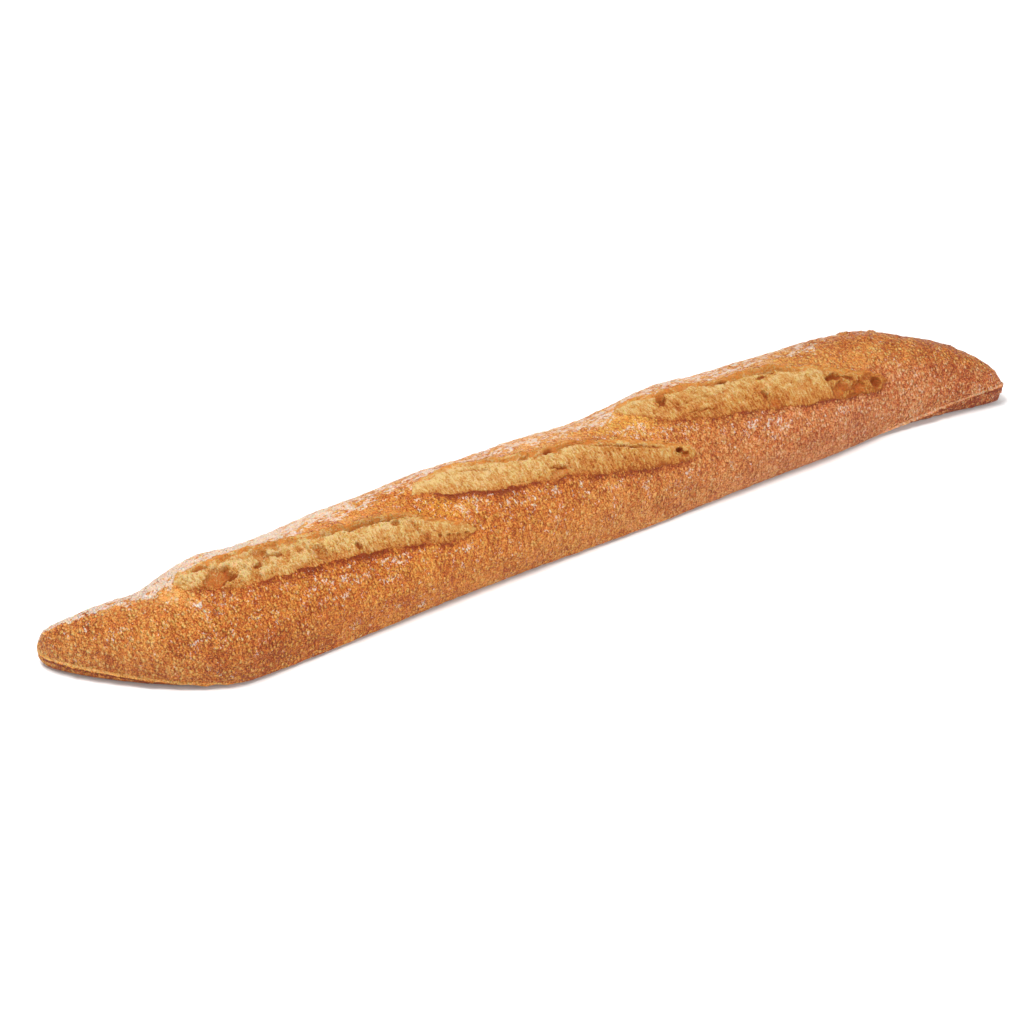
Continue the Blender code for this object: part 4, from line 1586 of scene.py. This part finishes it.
        # Painted shade in the pits, tears, caves and the groove behind the bulge.
        groove = 4.0 * climb * (1.0 - climb) * rise(self.gap.at(x), 1.2, 3.7)
        recess_shade = np.maximum(np.maximum(dark, 0.8 * tear_shade), 0.25 * hollow)
        recess_shade = np.maximum(recess_shade, 0.30 * groove * ease(0.5 - 4.0 * torn))
        stored = {"toast_and_shade": np.clip(toast_and_shade, -0.1, 1.1), "recess_shade": np.clip(recess_shade, 0.0, 0.95) * inside,
                  "glaze": np.clip(glaze, 0.0, 1.0), "wall": np.clip(1.0 - climb, 0.0, 1.0)}
        for name, values in stored.items():
            Shaper.attribute(piece, name, values)
        self.lay_out(piece, unit)
        self.close_below(piece)
        piece.data.materials.append(CrumbFinish().material())
        Shaper.activate(piece)
        bpy.ops.object.shade_smooth()
        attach(piece, "root")
        return piece

    def lay_out(self, piece: bpy.types.Object, unit: Array) -> None:
        """Lays the top of the mound out over most of the map."""
        mesh = piece.data
        while mesh.uv_layers:
            mesh.uv_layers.remove(mesh.uv_layers[0])
        layer = mesh.uv_layers.new(name="OFBake")
        corner = np.empty(len(mesh.loops), dtype=np.int32)
        mesh.loops.foreach_get("vertex_index", corner)
        u = 0.02 + 0.96 * (unit[corner, 0] + 0.5)
        v = 0.08 + 0.90 * (unit[corner, 1] + 0.5)
        layer.data.foreach_set("uv", np.stack([u, v], axis=1).ravel().astype(np.float32))

    def close_below(self, piece: bpy.types.Object) -> None:
        """Draws the rim of the mound down into the loaf and closes it."""
        Shaper.activate(piece)
        bpy.ops.object.mode_set(mode="EDIT")
        bpy.ops.mesh.select_all(action="DESELECT")
        bpy.ops.mesh.select_mode(type="EDGE")
        bpy.ops.mesh.select_non_manifold()
        bpy.ops.mesh.extrude_edges_move(TRANSFORM_OT_translate={"value": (0.0, 0.0, -self.root)})
        bpy.ops.mesh.edge_face_add()
        bpy.ops.mesh.quads_convert_to_tris(quad_method="BEAUTY", ngon_method="BEAUTY")
        bpy.ops.object.mode_set(mode="OBJECT")
        Shaper.recalculate(piece)


@dataclass(frozen=True)
class Studio:
    """Pale floor, soft light and the camera."""

    bearing: float = math.radians(31.025)
    elevation: float = math.radians(38.0)
    distance: float = 1.2731
    aside: float = -0.02134
    above: float = 0.00552
    lens: float = 84.93
    floor_size: float = 14.0
    floor_colour: Colour = (0.93, 0.93, 0.93, 1.0)
    floor_shade: Colour = (0.88, 0.88, 0.88, 1.0)
    sky_strength: float = 0.54
    key_power: float = 19.8
    key_size: float = 0.5
    key_place: tuple[float, float, float] = (-0.42, -0.10, 1.5)
    fill_power: float = 12.0
    fill_size: float = 1.2
    fill_place: tuple[float, float, float] = (0.6, -1.5, 0.8)
    back_power: float = 7.2
    back_size: float = 0.9
    back_place: tuple[float, float, float] = (0.1, 1.2, 1.0)

    def camera(self) -> bpy.types.Object:
        """Adds the camera."""
        right = Vector((math.cos(self.bearing), -math.sin(self.bearing), 0.0))
        ahead = Vector((math.sin(self.bearing), math.cos(self.bearing), 0.0))
        forward = ahead * math.cos(self.elevation) - Vector((0.0, 0.0, math.sin(self.elevation)))
        up = right.cross(forward)
        data = bpy.data.cameras.new("camera")
        data.lens = self.lens
        data.sensor_width = 36.0
        data.clip_start, data.clip_end = 0.05, 30.0
        camera = bpy.data.objects.new("camera", data)
        bpy.context.scene.collection.objects.link(camera)
        turn = Matrix((right, up, -forward)).transposed().to_4x4()
        turn.translation = right * self.aside + up * self.above - forward * self.distance
        camera.matrix_world = turn
        bpy.context.scene.camera = camera
        return camera

    def floor(self) -> bpy.types.Object:
        """Adds the floor."""
        Shaper.deselect()
        bpy.ops.mesh.primitive_plane_add(size=self.floor_size)
        floor = Shaper.added("floor")
        recipe = Recipe("floor")
        tone = recipe.span(recipe.noise(2.0, 2.0), 0.3, 0.7, 0.97, 1.0)
        colour = recipe.blend(tone, self.floor_shade, self.floor_colour)
        floor.data.materials.append(recipe.finish(colour, 0.9, 0.0))
        return floor

    def lamp(self, name: str, power: float, size: float, place: tuple[float, float, float]) -> None:
        """Adds one soft lamp that faces the middle of the loaf."""
        data = bpy.data.lights.new(name, "AREA")
        data.energy = power
        data.size = size
        lamp = bpy.data.objects.new(name, data)
        bpy.context.scene.collection.objects.link(lamp)
        lamp.location = place
        lamp.rotation_euler = (-Vector(place)).to_track_quat("-Z", "Y").to_euler()

    def build(self) -> None:
        """Builds the studio."""
        self.floor()
        self.camera()
        world = bpy.data.worlds.new("studio")
        world.use_nodes = True
        background = world.node_tree.nodes["Background"]
        background.inputs[0].default_value = (1.0, 1.0, 1.0, 1.0)
        background.inputs[1].default_value = self.sky_strength
        bpy.context.scene.world = world
        self.lamp("key", self.key_power, self.key_size, self.key_place)
        self.lamp("fill", self.fill_power, self.fill_size, self.fill_place)
        self.lamp("back", self.back_power, self.back_size, self.back_place)
        bpy.context.scene.view_settings.view_transform = "Standard"
        bpy.context.scene.view_settings.look = "None"


def left_crumb(form: LoafForm, crust: Crust) -> Crumb:
    """The left mound: caves and folds at its left, a smooth lens at its right."""
    return Crumb(
        form, crust, LEFT_SLASH,
        gap=Course(((-211, 0.2), (-202, 0.5), (-187, 0.9), (-160, 1.0), (-146, 1.2), (-132, 2.2), (-118, 3.0),
                    (-100, 3.4), (-90, 2.6), (-86, 0.5), (-70, 0.2), (-59, 0.1))),
        crest=Course(((-211, 0.2), (-190, 0.4), (-150, 0.8), (-120, 1.4), (-95, 1.5), (-84, 0.6),
                      (-59, 0.3))),
        rough=Course(((-211, 0.8), (-190, 1.0), (-150, 1.0), (-120, 0.9), (-90, 0.9), (-85, 0.25),
                      (-59, 0.2))),
        caves=Course(((-211, 0.3), (-200, 0.65), (-150, 0.65), (-140, 0.4), (-128, 0.1), (-110, 0.0))),
        toast_and_shade=Course(((-211, 0.16), (-190, 0.14), (-165, 0.04), (-140, 0.10), (-120, 0.22), (-95, 0.29),
                      (-85, 0.40), (-59, 0.46))),
        foot=Course(((-211, 0.8), (-187, 1.2), (-150, 1.4), (-136, 2.4), (-120, 2.6), (-98, 2.2), (-88, 1.6),
                     (-59, 0.8))),
        pits=(
            Pit(-190.5, 4, 0.0078, 0.0056, 0.0048, glaze=1.0, dark=0.38),
            Pit(-186.0, 8, 0.0036, 0.0030, 0.0020, glaze=1.0, dark=0.55),
            Pit(-197.0, -11, 0.0042, 0.0020, 0.0022, glaze=0.5, dark=0.65),
            Pit(-166.0, -3, 0.0040, 0.0042, 0.0030, glaze=0.7, dark=0.25),
            Pit(-171.0, 8, 0.0026, 0.0016, 0.0018, dark=0.70, turn=-20),
            Pit(-160.0, 4, 0.0036, 0.0014, 0.0018, dark=0.65, turn=25),
            Pit(-140.0, 19, 0.0036, 0.0052, 0.0030, glaze=0.3, dark=0.20),
            Pit(-121.0, 26, 0.0014, 0.0026, 0.0022, dark=0.60),
            Pit(-98.0, 19, 0.0022, 0.0018, 0.0016, dark=0.50),
            Pit(-79.5, 43, 0.0010, 0.0015, 0.0010, dark=0.40),
            Pit(-75.2, 45, 0.0013, 0.0009, 0.0009, dark=0.30),
            Pit(-70.4, 48, 0.0009, 0.0012, 0.0010, dark=0.42),
            Pit(-65.6, 49, 0.0014, 0.0010, 0.0009, dark=0.32),
        ),
        tears=(
            Tear((-146, -2), (-141, 28), 0.0012, -0.0012),
            Tear((-172, -12), (-168, 16), 0.0009, -0.0010),
            Tear((-178, -8), (-174, 18), 0.0008, -0.0008),
            Tear((-118, 16), (-117, 32), 0.0010, -0.0009),
            Tear((-92, 14), (-86, 44), 0.0011, 0.0015, -0.0004, dark=0.35),
        ),
    )


def middle_crumb(form: LoafForm, crust: Crust) -> Crumb:
    """The middle mound: pale and drawn out, with a second band above a tear."""
    return Crumb(
        form, crust, MIDDLE_SLASH,
        gap=Course(((-81, 0.1), (-60, 0.3), (-46, 0.6), (-36, 1.3), (-16, 2.2), (0, 2.4), (14, 1.6),
                    (24, 0.6), (36, 0.3), (73, 0.1))),
        crest=Course(((-81, 0.3), (-60, 0.9), (-20, 1.5), (10, 1.5), (40, 1.0), (73, 0.2))),
        rough=Course(((-81, 0.3), (-66, 0.8), (-20, 0.9), (30, 0.9), (48, 0.6), (58, 0.25), (73, 0.2))),
        caves=Course(((-81, 0.0), (73, 0.0))),
        toast_and_shade=Course(((-81, 0.10), (-60, 0.18), (-45, 0.14), (-25, 0.24), (0, 0.28), (16, 0.44), (45, 0.50),
                      (58, 0.44), (73, 0.38))),
        foot=Course(((-81, 1.0), (-50, 2.0), (-30, 3.4), (0, 3.2), (14, 2.4), (30, 1.2), (73, 0.8))),
        pits=(
            Pit(-16.3, 1, 0.0026, 0.0022, 0.0018, dark=0.75),
            Pit(-2.2, 1, 0.0026, 0.0012, 0.0014, dark=0.75),
            Pit(-3.5, 26, 0.0052, 0.0026, 0.0013, glaze=0.7, dark=0.05),
            Pit(63.5, 46, 0.0024, 0.0017, 0.0034, dark=1.0, turn=30),
            Pit(66.0, 51, 0.0026, 0.0021, 0.0022, glaze=1.0, dark=0.25, turn=30),
            Pit(70.0, 43, 0.0010, 0.0014, 0.0010, dark=0.5),
        ),
        tears=(
            Tear((-56, -12), (-38, -1), 0.0009, 0.0012, 0.0005),
            Tear((-8, 20), (1, 24), 0.0007, 0.0014, 0.0, dark=0.95),
            Tear((21, 13), (34, 23), 0.0009, 0.0016, 0.0006, dark=0.6),
            Tear((32, 22), (46, 32), 0.0009, 0.0015, 0.0006, dark=0.7),
            Tear((44, 30), (56, 39), 0.0008, 0.0010, 0.0004, dark=0.5),
            Tear((70, 42), (72, 58), 0.0008, -0.0010),
        ),
    )


def right_crumb(form: LoafForm, crust: Crust) -> Crumb:
    """The right mound: folds and a looped crease, a smooth lens, then browned blisters."""
    return Crumb(
        form, crust, RIGHT_SLASH,
        gap=Course(((47, 0.1), (60, 0.4), (70, 1.6), (84, 2.2), (98, 1.8), (108, 3.0), (120, 2.4), (132, 3.6),
                    (142, 3.0), (150, 1.2), (158, 0.4), (166, 0.3), (200, 0.3))),
        crest=Course(((47, 0.2), (60, 0.3), (80, 0.3), (96, 0.7), (110, 1.4), (140, 1.3), (160, 0.7),
                      (168, 0.3), (200, 0.3))),
        rough=Course(((47, 0.4), (58, 0.4), (72, 0.9), (120, 1.0), (130, 0.8), (137, 0.35), (162, 0.25),
                      (167, 0.9), (200, 0.8))),
        caves=Course(((47, 0.0), (64, 0.3), (84, 0.3), (100, 0.1), (124, 0.3), (133, 0.0), (164, 0.0),
                      (170, 0.5), (184, 0.5), (200, 0.2))),
        toast_and_shade=Course(((47, 0.28), (60, 0.26), (72, 0.38), (110, 0.36), (125, 0.40), (140, 0.36), (162, 0.38),
                      (168, 0.56), (185, 0.62), (200, 0.7))),
        foot=Course(((47, 1.0), (70, 2.6), (98, 2.0), (120, 3.0), (140, 3.6), (150, 2.0), (200, 0.8))),
        pits=(
            Pit(72.0, -7, 0.0030, 0.0044, 0.0036, dark=0.70, turn=20),
            Pit(111.0, -4, 0.0052, 0.0017, 0.0024, dark=0.95),
            Pit(125.0, 24, 0.0018, 0.0036, 0.0022, dark=0.60),
            Pit(128.5, 32, 0.0034, 0.0036, 0.0016, glaze=0.8, dark=0.10),
            Pit(137.5, 2, 0.0030, 0.0026, 0.0020, dark=0.75),
            Pit(130.0, 6, 0.0036, 0.0014, 0.0014, dark=0.75),
            Pit(150.0, 27, 0.0050, 0.0036, 0.0010, glaze=0.3, dark=0.05),
            Pit(168.0, 30, 0.0046, 0.0026, 0.0030, glaze=0.4, dark=0.75, turn=15),
            Pit(176.0, 36, 0.0040, 0.0014, 0.0016, glaze=0.4, dark=0.55, turn=30),
            Pit(169.0, 43, 0.0054, 0.0044, 0.0024, glaze=1.0, dark=0.05, turn=-20),
            Pit(180.0, 48, 0.0056, 0.0036, 0.0022, glaze=1.0, dark=0.10, turn=25),
            Pit(192.0, 50, 0.0030, 0.0038, 0.0030, glaze=0.6, dark=0.70),
        ),
        tears=(
            Tear((80, 14), (96, 20), 0.0009, 0.0014, 0.0004, dark=0.65),
            Tear((80, 4), (97, 4), 0.0010, 0.0010, 0.0004, dark=0.25),
            Tear((97, 4), (100, 18), 0.0009, 0.0008, 0.0005, dark=0.3),
            Tear((74, -9), (80, 6), 0.0009, 0.0012, 0.0005, dark=0.5),
            Tear((122, 12), (123, 36), 0.0008, -0.0010),
            Tear((131, 14), (138, 38), 0.0008, -0.0008),
            Tear((147, 16), (160, 20), 0.0008, -0.0009),
            Tear((165, 18), (164, 50), 0.0010, 0.0012, 0.0008, dark=0.5),
            Tear((173, 38), (174, 54), 0.0008, -0.0010),
        ),
    )


def main() -> None:
    """Builds the loaf and the studio."""
    logging.basicConfig(level=logging.INFO, format="%(name)s: %(message)s")
    low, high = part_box("loaf")
    form = LoafForm(length=high[0] - low[0])
    crust = Crust(form)
    pieces = [crust.build()]
    for crumb in (left_crumb(form, crust), middle_crumb(form, crust), right_crumb(form, crust)):
        pieces.append(crumb.build())
    for piece in pieces:
        LOG.info("%s: %d faces", piece.name, len(piece.data.polygons))
    Studio().build()


if __name__ == "__main__":
    main()
